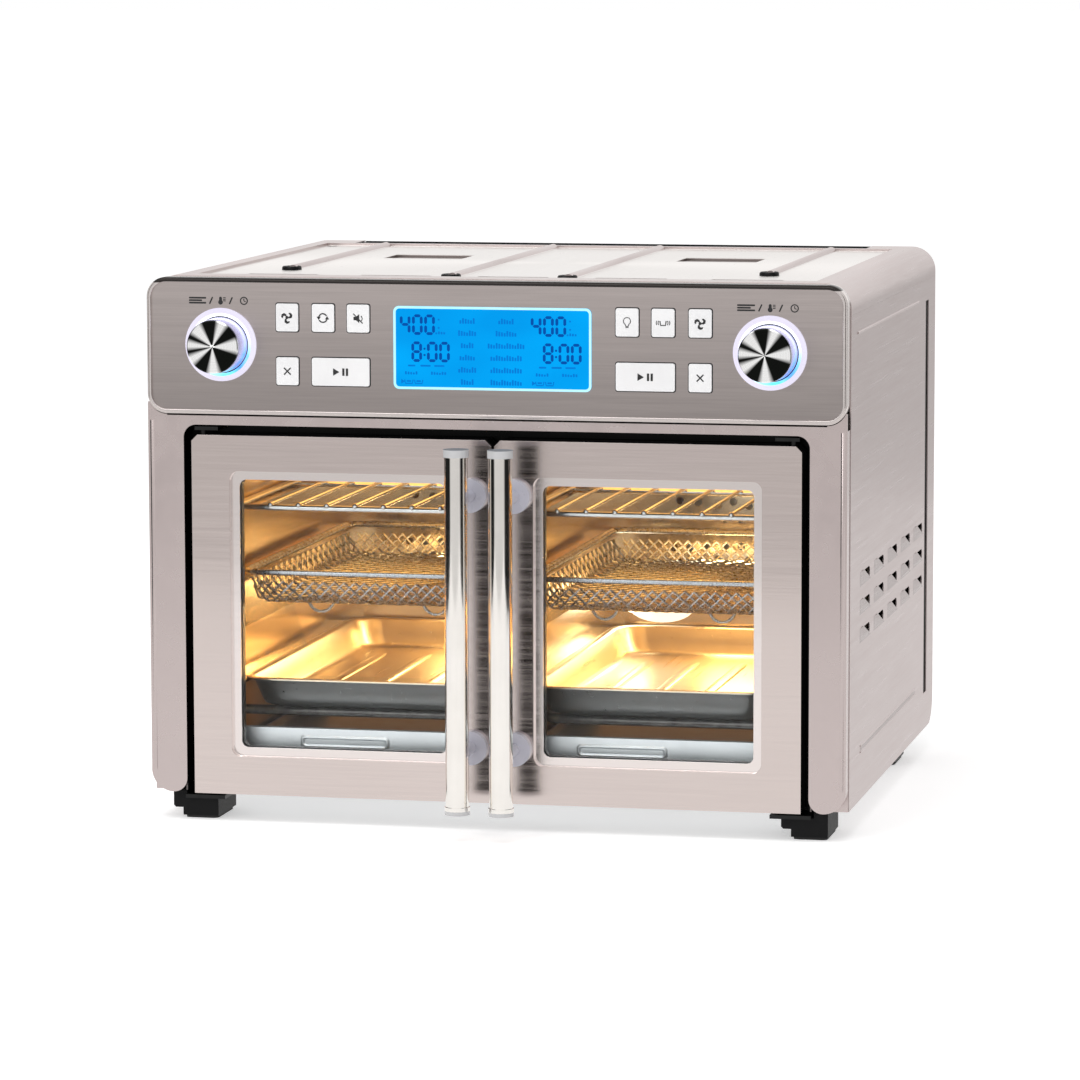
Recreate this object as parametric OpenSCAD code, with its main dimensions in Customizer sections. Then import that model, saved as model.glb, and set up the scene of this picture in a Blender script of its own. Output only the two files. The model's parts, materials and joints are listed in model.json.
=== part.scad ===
// Double-door countertop oven with two cooking zones.
// The body's front plane is y = 0 before the whole model is moved to its origin:
// x runs to the right, y towards the back and z up. The sheet-metal body starts at z = 0
// and stands on four feet.

/* [Body] */
// Width of the body
body_w = 500; // [480:1:520]
// Height of the body without its feet
body_h = 367; // [360:1:380]
// Depth of the body from the front frame to the back
body_d = 434; // [430:1:460]
// Height of the feet
foot_h = 20; // [16:1:26]
// Radius of the body's upper corners
corner_r = 18; // [12:1:24]
// Thickness of the outer sheet steel
sheet_t = 0.9; // [0.7:0.1:1.5]

/* [Control panel] */
// Height of the control panel's lower edge
panel_z = 270.5; // [268:0.5:274]
// Corner radius of the control panel
panel_r = 14; // [8:1:18]
// Width of the bright rim round the panel
rim_w = 3; // [2:0.5:4]
// Width of the display glass
display_w = 141; // [120:1:150]
// Height of the display glass
display_h = 58; // [50:1:62]
// Distance from the middle of the panel to a knob's centre
knob_x = 195.5; // [190:0.5:200]
// Radius of a knob
knob_r = 19.5; // [17:0.5:20]
// How far a knob stands out of the panel
knob_out = 22.5; // [16:0.5:26]
// Outer radius of the lit ring round a knob
halo_r = 25.7; // [24:0.1:27]
// Width of a small button
button_w = 16; // [14:0.5:17]
// Height of every button
button_h = 19.5; // [18:0.5:22]
// Width of a large button
wide_button_w = 41.5; // [38:0.5:43]
// How far a button can be pressed
button_travel = 0.8; // [0.5:0.1:1]

/* [Doors] */
// Half width of the opening in the front frame
opening_x = 223.5; // [222:0.5:225]
// Height of the opening's top edge
opening_z = 262.7; // [261:0.1:264]
// Outer edge of a door from the middle
door_x = 218; // [216:0.5:219]
// Half the gap between the two doors
door_gap = 1; // [0.6:0.1:2]
// Height of a door's top edge
door_z = 255.5; // [254:0.5:256]
// Thickness of a door
door_t = 21; // [19:0.5:21]
// Distance from the middle to a hinge's axis
hinge_x = 211; // [209:0.5:212]
// Depth of the hinge axis behind the front plane
hinge_y = 7; // [6:0.5:8]
// Inner edge of a window from the middle
window_x0 = 35; // [33:0.5:40]
// Outer edge of a window from the middle
window_x1 = 184; // [176:0.5:186]
// Lower edge of a window
window_z0 = 33; // [30:0.5:40]
// Upper edge of a window
window_z1 = 224; // [215:0.5:226]
// Radius of a handle tube
handle_r = 8.25; // [7:0.25:9]
// Distance of a handle tube's axis in front of the body
handle_y = 45; // [40:1:50]
// Distance from the middle to a handle tube's axis
handle_x = 15.6; // [14:0.1:17]

/* [Oven] */
// Inner edge of a cooking zone from the middle
zone_x0 = 4; // [3:0.5:6]
// Outer edge of a cooking zone from the middle
zone_x1 = 205; // [200:0.5:208]
// Front edge of the oven liner
liner_y0 = 26; // [25.5:0.5:28]
// Rear wall of the oven liner
liner_y1 = 372; // [368:1:374]
// Floor of the oven
liner_z0 = 21; // [20:0.5:22]
// Ceiling of the oven
liner_z1 = 247; // [244:0.5:248]
// Height of the wire rack's rails
rack_z = 200; // [196:0.5:202]
// Height of the mesh basket's rim
basket_z = 155.5; // [152:0.5:158]
// Height of the bake pan's rim
pan_z = 78; // [74:0.5:80]
// Height of the fan's axis
fan_z = 150; // [145:1:155]
// Distance between the wires of the rack
wire_pitch = 20.8; // [18:0.2:22]

/* [Hidden] */

$fn = 64;
eps = 0.01;
gap = 0.4;

half_w = body_w / 2;
// The end caps of the handle tubes are a little thicker than the tubes
cap_grow = 0.7;
// Middle of the whole depth, handles included, which is the model's origin
handle_front = handle_y + handle_r + cap_grow;
origin_y = (body_d - handle_front) / 2;

frame_d = 12;
wrap_y0 = frame_d + 0.5;
door_z0 = -0.5;
zone_c = (zone_x0 + zone_x1) / 2;
window_bevel = 6.2;
liner_t = 0.8;
guide_w = 13.5;
guide_t = 2;
fan_y = 378;
drum_r = 58;
drum_d = 24;
shaft_r = 3;
running = 0.06;
pin_r = 2.5;
panel_t = 1.5;
board_y = 22;
display_z = 319.5;
knob_z = 319.5;
upper_row_z = 339.3;
lower_row_z = 301.6;
side_x = [147, 121, 95.7];
wide_x = 108.5;
handle_mount_z = [39, 217];
heater_r = 3.5;
rail_r = 2.2;
upper_heater_z = 234;
lower_heater_z = 48.5;
heater_y = [80, 300];
heater_bend = 16;
rib_x = [42, 175];
rear_slot_z = [28, 329];
rear_slot_y = [382, 398];
top_recess = 2;

steel = "#b9b2ae";
bright = "#dcd8d4";
gold = "#c99a4e";
black = "#1c1c1e";

// ---------------------------------------------------------------- helpers

module place() {
    translate([0, -origin_y, foot_h]) children();
}

module box(x0, x1, y0, y1, z0, z1) {
    translate([x0, y0, z0]) cube([x1 - x0, y1 - y0, z1 - z0]);
}

// Extrudes an outline drawn in x and z along y
module along_y(y0, y1) {
    translate([0, y1, 0]) rotate([90, 0, 0]) linear_extrude(y1 - y0) children();
}

// Extrudes an outline drawn in y and z along x
module along_x(x0, x1) {
    translate([x0, 0, 0]) rotate([90, 0, 90]) linear_extrude(x1 - x0) children();
}

module rod_x(r, x0, x1, y, z) {
    translate([x0, y, z]) rotate([0, 90, 0]) cylinder(r = r, h = x1 - x0);
}

module rod_y(r, y0, y1, x, z) {
    translate([x, y0, z]) rotate([-90, 0, 0]) cylinder(r = r, h = y1 - y0);
}

module rod_z(r, z0, z1, x, y) {
    translate([x, y, z0]) cylinder(r = r, h = z1 - z0);
}

// Rectangle with round corners, given by its edges
module rounded(a0, a1, b0, b1, r) {
    translate([a0 + r, b0]) square([a1 - a0 - 2 * r, b1 - b0]);
    translate([a0, b0 + r]) square([a1 - a0, b1 - b0 - 2 * r]);
    for (a = [a0 + r, a1 - r], b = [b0 + r, b1 - r])
        translate([a, b]) circle(r = r);
}

// Rectangle with round upper corners only
module arch(a0, a1, b0, b1, r) {
    translate([a0 + r, b0]) square([a1 - a0 - 2 * r, b1 - b0]);
    translate([a0, b0]) square([a1 - a0, b1 - b0 - r]);
    for (a = [a0 + r, a1 - r])
        translate([a, b1 - r]) circle(r = r);
}

// Draws its children on the right side (s = 1) or mirrored to the left (s = -1)
module side(s) {
    if (s > 0) children();
    else mirror([1, 0, 0]) children();
}

module both() {
    side(1) children();
    side(-1) children();
}

// ---------------------------------------------------------------- casing

// One pressed-in louvre of the side vents: a leaf that sinks towards the back and the top
module louvre_leaf(y, z) {
    translate([half_w - sheet_t - 0.2, y - 23, z - 5]) rotate([0, -9, 7]) cube([1, 44, 9]);
}

module wrap_sheet() {
    difference() {
        along_y(wrap_y0, body_d) arch(-half_w, half_w, 0, body_h, corner_r);
        along_y(wrap_y0 - 1, body_d + 1)
            arch(-half_w + sheet_t, half_w - sheet_t, -1, body_h - sheet_t, corner_r - sheet_t);
    }
}

louvre_y = [for (i = [0:4]) 81 + 66.5 * i];
louvre_z = [117, 137, 157];
rib_y0 = [57, 119];
recess_y = [36, 396];
recess_x = 222;
pocket_x = [-168, -85, 0, 85, 168];

module top_tray(grow, z0, z1) {
    box(-recess_x - grow, recess_x + grow, recess_y[0] - grow, recess_y[1] + grow, z0, z1);
}

module pocket(x, y, w, d, grow, z0, z1) {
    box(x - w / 2 - grow, x + w / 2 + grow, y - d / 2 - grow, y + d / 2 + grow, z0, z1);
}

// Every pressed pocket in the top: five along the front and two towards the back
module pockets(grow, z0, z1) {
    for (x = pocket_x) pocket(x, 62, 51, 14, grow, z0, z1);
    for (x = [-111.5, 111.5]) pocket(x, 276, 60, 42, grow, z0, z1);
}

module outer_wrap() {
    tray_top = body_h - top_recess;
    color(steel) place() difference() {
        union() {
            difference() {
                wrap_sheet();
                top_tray(0, body_h - sheet_t - 1, body_h + 1);
                both() for (y = louvre_y, z = louvre_z)
                    along_x(half_w - 5, half_w + 5) rounded(y - 23, y + 23, z - 4.5, z + 4.5, 4.4);
            }
            difference() {
                top_tray(sheet_t, tray_top - sheet_t, body_h - eps);
                top_tray(0, tray_top, body_h + 1);
                pockets(0, tray_top - 5, tray_top + 1);
            }
            difference() {
                pockets(sheet_t, tray_top - 2 - sheet_t, tray_top - eps);
                pockets(0, tray_top - 2, tray_top + 1);
            }
            for (i = [0, 1], s = [-1, 1])
                intersection() {
                    rod_y(4.2, rib_y0[i], rear_slot_y[1] - 2 - eps, s * rib_x[i], tray_top - 1);
                    box(-half_w, half_w, 0, body_d, tray_top - 0.6, body_h + 5);
                }
            both() for (y = louvre_y, z = louvre_z) louvre_leaf(y, z);
            both() rod_y(1.1, 41, 343, half_w - 0.3, 331);
            both() for (z = [34, 38.5]) rod_y(0.9, 62, 336, half_w - 0.3, z);
            both() box(half_w - 14, half_w - 0.5, wrap_y0, body_d - 6, 0, sheet_t);
        }
        // Open notch for the rear cover's top and a slot down each side
        box(-201, 201, 402, body_d + 1, body_h - 8, body_h + 8);
        both() box(half_w - 5, half_w + 5, rear_slot_y[0], rear_slot_y[1], rear_slot_z[0],
            rear_slot_z[1]);
        both() rear_corner_cut();
        // Dark hole at the front end of each rib
        for (i = [0, 1], s = [-1, 1]) translate([s * rib_x[i], rib_y0[i] - 5, 0])
            rod_z(5, body_h - 12, body_h + 6, 0, 0);
        rod_z(4, body_h - 12, body_h + 6, -216, 388);
        both() for (y = base_screw_y) rod_z(2.2, -2, 4, half_w - 8, y);
        // Hairline seams where the side panels meet the top cover
        both() box(half_w - 4, half_w + 2, 0, body_d + 1, seam_z, seam_z + seam_t);
    }
}

seam_z = body_h - corner_r - 4;
seam_t = 0.05;
base_screw_y = [60, 220, 390];

// Rounds the lower rear corner of a side
module rear_corner_cut() {
    r = 22;
    difference() {
        box(half_w - 30, half_w + 5, body_d - r, body_d + 1, -1, r);
        rod_x(r, half_w - 31, half_w + 6, body_d - r, r);
    }
}

module rear_cover() {
    in_x = half_w - sheet_t - gap;
    color(black) place() difference() {
        union() {
            along_y(body_d - 3, body_d - 0.5)
                arch(-in_x, in_x, 24, body_h - sheet_t - gap, corner_r - sheet_t);
            // Ledge that fills the notch in the top
            box(-200.5, 200.5, 402.5, body_d - 0.5, body_h - 3.5, body_h - 1.4);
            // Strips that show through the side slots
            both() box(in_x - 1.5, in_x, 378, body_d - 2, 24, 334);
            box(-200.5, 200.5, body_d - 3, body_d - 0.5, body_h - 10, body_h - 1.4);
        }
        both() for (i = [0:10]) for (j = [0:2])
            along_y(body_d - 5, body_d + 1)
                rounded(40 + j * 50, 82 + j * 50, 90 + i * 11, 95 + i * 11, 2.4);
        for (i = [0:13])
            along_y(body_d - 5, body_d + 1) rounded(-98 + i * 15, -93 + i * 15, 290, 330, 2.4);
        rod_y(9.2, body_d - 5, body_d + 1, -200, 52);
        for (p = rear_screws) rod_y(2.1, body_d - 5, body_d + 1, p[0], p[1]);
    }
}

rear_screws = [
    for (x = [-225, 225], z = [50, 190, 330]) [x, z],
    for (x = [-110, 0, 110]) [x, 345]
];

module base_plate() {
    bx = half_w - sheet_t - gap;
    color("#8b8886") place() difference() {
        union() {
            box(-bx, bx, 25.5, body_d - 3.5, 1.4, 2.4);
            // Upstand that closes the gap under the rear cover
            box(-zone_x1, zone_x1, body_d - 4.5, body_d - 3.5, 1.4, 32);
            // Upstand behind the doors, up to the oven floor
            box(-zone_x1 - 10, zone_x1 + 10, 24.5, 25.5 + eps, 1.4, liner_z0 - liner_t - 0.2);
        }
        both() rear_base_cut();
        for (x = [-150:20:150], y = [120, 250]) box(x - 3, x + 3, y, y + 60, 0, 4);
        both() for (y = base_screw_y) rod_z(2.1, 0, 4, half_w - 8, y);
        both() for (y = foot_y) rod_z(2.1, 0, 4, foot_x, y);
    }
}

module rear_base_cut() {
    box(half_w - 40, half_w + 5, body_d - 14, body_d + 1, -1, 5);
}

foot_x = 219.5;
foot_y = [31, 354];
foot_w = 33;
foot_l = 46;
foot_top = -4.6;
foot_step = 7;
sole_t = 2;

// Plastic foot, the same way round at every corner, with a step up on its left side
module foot(s, y) {
    h = foot_w / 2;
    y0 = y - foot_l / 2;
    y1 = y + foot_l / 2;
    difference() {
        union() {
            translate([s * foot_x, 0, 0]) along_y(y0, y1) polygon([
                [-h, foot_top], [h, foot_top], [h, sole_t - foot_h], [foot_step - h, sole_t - foot_h],
                [foot_step - h, -12.5], [1.5 - h, -12.5], [-h, -11]
            ]);
            // Upper step beside the hinge bracket
            side(s) box(foot_x + 6.5, foot_x + h, y0, y1, foot_top - eps, -0.2);
            // Boss up to the base plate where there is no hinge bracket
            if (y == foot_y[1])
                side(s) box(foot_x - 9, foot_x + 6.5 + eps, y - 12, y + 12, foot_top - eps, 1.2);
        }
        rod_z(2.1, -foot_h - 1, 5, s * foot_x, y);
        rod_z(5, -foot_h - 1, -9, s * foot_x, y);
    }
}

module feet() {
    color(black) place() for (s = [-1, 1], y = foot_y) foot(s, y);
}

module foot_pads() {
    h = foot_w / 2;
    color("#3a3a3a") place() for (s = [-1, 1], y = foot_y) difference() {
        translate([s * foot_x, y, -foot_h]) linear_extrude(sole_t)
            rounded(foot_step - h + 1, h - 1, 2 - foot_l / 2, foot_l / 2 - 2, 4);
        rod_z(5, -foot_h - 1, 0, s * foot_x, y);
    }
}

module case_screws() {
    color("#6d6d70") place() {
        for (p = rear_screws) {
            rod_y(1.95, body_d - 8, body_d - 0.5 + eps, p[0], p[1]);
            rod_y(3.6, body_d - 0.5, body_d, p[0], p[1]);
        }
        both() for (y = base_screw_y) {
            rod_z(1.95, -0.5, 8, half_w - 8, y);
            rod_z(3.6, -2, -0.01, half_w - 8, y);
        }
        both() for (y = foot_y) {
            rod_z(1.95, -9.5, 6, foot_x, y);
            rod_z(3.6, -11.5, -9.01, foot_x, y);
        }
    }
}

module cord_gland() {
    color(black) place() difference() {
        union() {
            rod_y(9, body_d - 12, body_d - 0.4, -200, 52);
            rod_y(13, body_d - 6.5, body_d - 3.05, -200, 52);
            rod_y(12, body_d - 0.45, body_d, -200, 52);
        }
        rod_y(4, body_d - 13, body_d + 1, -200, 52);
    }
}

// ---------------------------------------------------------------- front

frame_corner_r = 16;
leg_r = 10;

module front_outline() {
    side_x1 = half_w - 0.5;
    difference() {
        union() {
            rounded(-side_x1, side_x1, 0, 100, frame_corner_r);
            translate([-side_x1, 40]) square([2 * side_x1, panel_z - 41.3]);
            // Corners behind the rounded lower corners of the panel
            for (x = [-side_x1, side_x1 - panel_r]) translate([x, panel_z - 2])
                square([panel_r, panel_r - 4]);
        }
        offset(delta = 0.6) panel_outline(0);
        arch(-opening_x, opening_x, -1, opening_z, 9);
    }
}

// Space beside the foot of each frame leg that rounds its inner corner
module leg_round() {
    difference() {
        translate([opening_x - 3, -1]) square([leg_r + 3, leg_r + 1]);
        translate([opening_x + leg_r, leg_r]) circle(r = leg_r);
    }
}

module front_frame() {
    color(bright) place() difference() {
        union() {
            along_y(0, 1.5) front_outline();
            // Rolled outer edges
            both() box(half_w - 2, half_w - 0.5, 0, frame_d, 15, panel_z - 4);
            // Return round the opening and landing flange behind the doors
            difference() {
                along_y(0, 24.4) arch(-opening_x - 1.5, opening_x + 1.5, 1, opening_z + 1.5, 10.5);
                along_y(-1, 25) arch(-opening_x, opening_x, -1, opening_z, 9);
            }
            difference() {
                along_y(23.2, 24.4)
                    arch(-opening_x - 1.5, opening_x + 1.5, 1, opening_z + 1.5, 10.5);
                along_y(20, 26) translate([-zone_x1, -2]) square([2 * zone_x1, liner_z1 + 2]);
            }
            both() rod_z(3, 16, panel_z - 5, half_w - 3.5, 2.6);
            // Each rounded lower corner carries on back to a square corner plate
            both() along_y(1.5 - eps, frame_d - 1) intersection() {
                rounded(-half_w + 0.5, half_w - 0.5, 0, 100, frame_corner_r);
                translate([half_w - frame_corner_r - 1, 0]) square(frame_corner_r + 0.5);
            }
            both() box(half_w - frame_corner_r - 1, half_w - 0.5, frame_d - 1 - eps, frame_d, 0,
                frame_corner_r);
        }
        both() along_y(-1, 3.2) leg_round();
        // Slots for the upper hinge brackets
        both() box(hinge_x - 13, hinge_x + 6, 20, 26, door_z + 3, door_z + 5.9);
    }
}

module panel_outline(inset) {
    r = panel_r - inset;
    rounded(-half_w + 0.8 + inset, half_w - 0.8 - inset, panel_z + inset, body_h - 0.4 - inset, r);
}

module panel_rim() {
    color(bright) place() difference() {
        union() {
            along_y(-1.2, wrap_y0 - 0.5) panel_outline(0);
            along_y(-2, 0) panel_outline(1.2);
        }
        along_y(-3, wrap_y0) panel_outline(rim_w);
    }
}

function buttons() = [
    [-side_x[0], upper_row_z, button_w], [-side_x[1], upper_row_z, button_w],
    [-side_x[2], upper_row_z, button_w], [-side_x[0], lower_row_z, button_w],
    [-wide_x, lower_row_z, wide_button_w],
    [side_x[2], upper_row_z, button_w], [side_x[1], upper_row_z, button_w],
    [side_x[0], upper_row_z, button_w], [wide_x, lower_row_z, wide_button_w],
    [side_x[0], lower_row_z, button_w]
];

module button_outline(b, grow) {
    rounded(b[0] - b[2] / 2 - grow, b[0] + b[2] / 2 + grow, b[1] - button_h / 2 - grow,
        b[1] + button_h / 2 + grow, 1.6 + grow);
}

module display_outline(grow) {
    rounded(-display_w / 2 - grow, display_w / 2 + grow, display_z - display_h / 2 - grow,
        display_z + display_h / 2 + grow, 4);
}

module control_panel() {
    color("#a29a95") place() difference() {
        along_y(0, panel_t) panel_outline(rim_w);
        along_y(-1, 3) display_outline(0);
        both() rod_y(halo_r + 0.2, -1, 3, knob_x, knob_z);
        for (b = buttons()) along_y(-1, 3) button_outline(b, 0.7);
    }
}

module display_panel() {
    color("#1ea6f5") place() {
        along_y(-0.6, 2.4) display_outline(-0.05);
        box(-display_w / 2 - 5, display_w / 2 + 5, 2.4 - eps, 9, display_z - 31, display_z + 31);
    }
}

module halo_rings() {
    color("#eeeaff") place() both() difference() {
        union() {
            rod_y(halo_r, -1.2, 1.6, knob_x, knob_z);
            rod_y(halo_r + 1.6, 1.6 - eps, 4, knob_x, knob_z);
        }
        rod_y(knob_r + 0.8, -2, 5, knob_x, knob_z);
    }
}

sleeve_r = 4;

module control_board() {
    color("#2f6b3a") place() {
        difference() {
            union() {
                box(-236, 236, board_y, board_y + 1.6, 277, 361);
                // Encoder bodies with their bushings
                both() {
                    box(knob_x - 8, knob_x + 8, 14.5, board_y + eps, knob_z - 8, knob_z + 8);
                    rod_y(6, 8.6, 15, knob_x, knob_z);
                }
                // One push switch behind each button
                for (b = buttons()) box(b[0] - 3, b[0] + 3, 19.8, board_y + eps, b[1] - 3, b[1] + 3);
                for (x = [-20, 0, 20]) box(x - 6, x + 6, board_y + 1.5, board_y + 5, 300, 325);
                // Spacers to the panel
                for (x = [-170, -75, 75, 170]) rod_y(3, panel_t, board_y + eps, x, 355);
                for (x = [-225, -75, 75, 225]) rod_y(3, panel_t, board_y + eps, x, 283);
            }
            both() {
                rod_y(sleeve_r + running, 8, 19, knob_x, knob_z);
            }
        }
    }
}

module power_board() {
    color("#3b7a45") place() {
        box(60, 190, 110, 270, 290, 291.6);
        box(70, 115, 120, 165, 291.6 - eps, 322);
        box(125, 160, 125, 150, 291.6 - eps, 307);
        box(75, 105, 190, 214, 291.6 - eps, 306);
        box(118, 148, 190, 214, 291.6 - eps, 306);
        for (x = [168, 180], y = [135, 160, 185]) rod_z(5, 291.6 - eps, 314, x, y);
        for (x = [68, 182], y = [118, 262]) rod_z(3, 262, 290 + eps, x, y);
    }
}

// ---------------------------------------------------------------- knobs and buttons

module knob(s) {
    color("#2a2a2e") place() side(s) translate([knob_x, 0, knob_z]) rotate([90, 0, 0])
        rotate_extrude() polygon([
            [0, -17], [shaft_r, -17], [shaft_r, 3], [5.5, 3], [5.5, 2], [6, 2], [6, 16], [16.8, 16],
            [17.2, 0.9], [knob_r, 0.9], [knob_r - 0.6, knob_out - 1.8], [0, knob_out - 1.8]
        ]);
}

module knob_cap(s) {
    color("#c9c9cc") place() side(s) translate([knob_x, 0, knob_z]) rotate([90, 0, 0])
        rotate_extrude() polygon([
            [0, knob_out - 1.8], [knob_r - 0.9, knob_out - 1.8], [knob_r - 0.9, knob_out - 0.7],
            [knob_r - 1.7, knob_out], [0, knob_out - 0.2]
        ]);
}

// Collar that carries the knob's shaft and slides in the encoder's bushing
module knob_sleeve(s) {
    color("#caa968") place() side(s) difference() {
        union() {
            rod_y(sleeve_r, -1.5, 18, knob_x, knob_z);
            rod_y(5.6, -1.5, 0, knob_x, knob_z);
        }
        rod_y(shaft_r + running, -2, 19, knob_x, knob_z);
    }
}

module button(i) {
    b = buttons()[i];
    color("#f1efec") place() {
        along_y(-1.3, 6) button_outline(b, 0);
        along_y(2.5, 4) button_outline(b, 1.8);
        rod_y(2.5, 6 - eps, 18.9, b[0], b[1]);
    }
}

module left_knob() { knob(-1); }
module right_knob() { knob(1); }
module left_knob_cap() { knob_cap(-1); }
module right_knob_cap() { knob_cap(1); }
module left_knob_sleeve() { knob_sleeve(-1); }
module right_knob_sleeve() { knob_sleeve(1); }

// ---------------------------------------------------------------- oven

module fan_hole(grow, y0, y1) {
    rod_y(drum_r + grow, y0, y1, zone_c, fan_z);
}

module cavity_liner() {
    t = liner_t;
    color(gold) place() difference() {
        union() {
            difference() {
                union() {
                    box(-zone_x1 - t, zone_x1 + t, liner_y0, liner_y1 + t, liner_z0 - t, liner_z1 + t);
                    box(-zone_x1 - 12, zone_x1 + 12, liner_y0, liner_y0 + t, liner_z0 - t, liner_z1 + 12);
                }
                box(-zone_x1, zone_x1, liner_y0 - 1, liner_y1, liner_z0, liner_z1);
                both() fan_hole(0, liner_y1 - 1, liner_y1 + 3);
            }
            // Drawn recesses in the rear wall for the fans
            both() difference() {
                fan_hole(t, liner_y1 + t - eps, liner_y1 + t + drum_d);
                fan_hole(0, liner_y1, liner_y1 + drum_d);
            }
        }
        both() rod_y(4.5, liner_y1, liner_y1 + 40, zone_c, fan_z);
        both() for (y = heater_y, z = [lower_heater_z, upper_heater_z])
            rod_x(heater_r + 0.5, zone_x1 - 5, zone_x1 + 5, y, z);
        both() lamp_bore(13, liner_y1 - 2, liner_y1 + 4);
    }
}

module insulation() {
    t = 10;
    x0 = zone_x1 + liner_t + 0.3;
    z0 = liner_z1 + liner_t + 0.3;
    color("#d8d2c0") place() difference() {
        box(-x0 - t, x0 + t, liner_y0 + 2, liner_y1 - 2, liner_z0, z0 + t);
        box(-x0, x0, liner_y0, liner_y1, liner_z0 - 1, z0);
        both() for (y = heater_y, z = [lower_heater_z, upper_heater_z])
            rod_x(7.5, zone_x1 - 5, zone_x1 + 30, y, z);
    }
}

// Double-walled partition, open at the back
module zone_divider() {
    y0 = liner_y0 + 0.2;
    y1 = liner_y1 - 0.2;
    z0 = liner_z0 + 0.2;
    z1 = liner_z1 - 0.2;
    color("#d2a65c") place() difference() {
        box(-zone_x0, zone_x0, y0, y1, z0, z1);
        box(-zone_x0 + 1, zone_x0 - 1, y0 + 1, y1 + 1, z0 + 1, z1 - 1);
    }
}

guide_z = [pan_z - 2.3, 114, basket_z - 4.8, rack_z - rail_r - 0.3];

// Angle strips on both walls of each zone carry the rack, the basket and the pan
module rack_guides() {
    color("#d9b36b") place() both() for (z = guide_z) {
        box(zone_x0, zone_x0 + guide_w, 40, 360, z - guide_t, z);
        box(zone_x1 - guide_w, zone_x1, 40, 360, z - guide_t, z);
    }
}

// Hairpin element of one zone: two legs along x, joined along y beside the divider
module heater(z) {
    x0 = zone_x0 + 14;
    r = heater_r;
    b = heater_bend;
    for (y = heater_y) {
        rod_x(r, x0 + b, zone_x1 + 12, y, z);
        rod_x(6.5, zone_x1 + 1.1, zone_x1 + 14, y, z);
    }
    rod_y(r, heater_y[0] + b, heater_y[1] - b, x0, z);
    translate([x0 + b, heater_y[0] + b, z]) rotate([0, 0, 180])
        rotate_extrude(angle = 90) translate([b, 0]) circle(r = r);
    translate([x0 + b, heater_y[1] - b, z]) rotate([0, 0, 90])
        rotate_extrude(angle = 90) translate([b, 0]) circle(r = r);
}

module upper_heaters() {
    color("#8f8f92") place() both() heater(upper_heater_z);
}

module lower_heaters() {
    color("#8f8f92") place() both() heater(lower_heater_z);
}

module fan_motors() {
    y0 = liner_y1 + liner_t + drum_d + 0.05;
    color("#77777a") place() both() difference() {
        union() {
            rod_y(34, y0, y0 + 1.5, zone_c, fan_z);
            rod_y(26, y0 + 1.5 - eps, 424, zone_c, fan_z);
            rod_y(8, 424 - eps, 428, zone_c, fan_z);
        }
        rod_y(shaft_r + running, y0 - 1, 420, zone_c, fan_z);
    }
}

module fan_grilles() {
    color("#cda152") place() both() difference() {
        rod_y(drum_r + 5, liner_y1 - 1.3, liner_y1 - 0.05, zone_c, fan_z);
        for (ring = [[12, 6, 3], [24, 12, 3], [36, 18, 3], [48, 24, 3]])
            for (i = [0:ring[1] - 1])
                rod_y(ring[2], liner_y1 - 3, liner_y1 + 1,
                    zone_c + ring[0] * cos(360 * i / ring[1]), fan_z + ring[0] * sin(360 * i / ring[1]));
    }
}

module fan_wheel(s) {
    color("#9c9da0") place() side(s) translate([zone_c, fan_y, fan_z]) {
        rod_y(shaft_r, 0, 40, 0, 0);
        rod_y(48, 12, 13.2, 0, 0);
        rod_y(9, 0, 12 + eps, 0, 0);
        for (i = [0:7]) rotate([0, i * 45, 0])
            translate([8, 1, -0.7]) cube([38, 11.2, 1.4]);
    }
}

module left_fan_wheel() { fan_wheel(-1); }
module right_fan_wheel() { fan_wheel(1); }

lamp_x = 26;
lamp_z = 100;

module lamp_bore(r, y0, y1) {
    rod_y(r, y0, y1, lamp_x, lamp_z);
}

module oven_lamps() {
    color("#fff3c4") place() both() {
        lamp_bore(12.8, liner_y1 - 5, liner_y1 + 1);
        lamp_bore(15.5, liner_y1 + 1.05, liner_y1 + 26);
    }
}

module hinge_brackets() {
    color("#55565a") place() both() {
        // Upper bracket with its pin
        difference() {
            box(hinge_x - 12, hinge_x + 5, 2, 40, door_z + 3.2, door_z + 5.7);
            box(zone_x1 - 20, zone_x1 + 13, liner_y0 - 0.3, 50, door_z - 10, door_z + 9);
        }
        rod_z(pin_r, door_z - 11, door_z + 3.2 + eps, hinge_x, hinge_y);
        // Lower bracket under the base plate
        difference() {
            union() {
                box(hinge_x - 15, hinge_x + 14, 1, 44, -4.5, -1.8);
                box(hinge_x - 15, hinge_x + 14, 26, 44, -1.85, 1.35);
            }
            rod_z(2.1, -6, 3, foot_x, foot_y[0]);
        }
        rod_z(pin_r, -1.8 - eps, 13, hinge_x, hinge_y);
    }
}

// ---------------------------------------------------------------- doors

module window_outline(grow) {
    rounded(window_x0 - grow, window_x1 + grow, window_z0 - grow, window_z1 + grow, 5 + grow / 4);
}

module door_outline(inset) {
    difference() {
        translate([door_gap + inset, door_z0 + inset])
            square([door_x - door_gap - 2 * inset, door_z - door_z0 - 2 * inset]);
        for (x = [door_gap + inset, door_x - inset]) translate([x, door_z - inset])
            rotate(45) square(6, center = true);
    }
}

skin_t = 1.2;
ring_y = 4;

module door_skin(s) {
    color(steel) place() side(s) difference() {
        union() {
            difference() {
                along_y(0, door_t - 2) door_outline(0);
                along_y(skin_t, door_t) door_outline(skin_t);
            }
            along_y(0, ring_y + skin_t) window_outline(window_bevel + skin_t);
        }
        along_y(-1, ring_y) window_outline(window_bevel);
        along_y(-1, 20) window_outline(0);
        rod_z(4, door_z - 4, door_z + 1, hinge_x, hinge_y);
        rod_z(4, door_z0 - 1, door_z0 + 4, hinge_x, hinge_y);
    }
}

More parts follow.
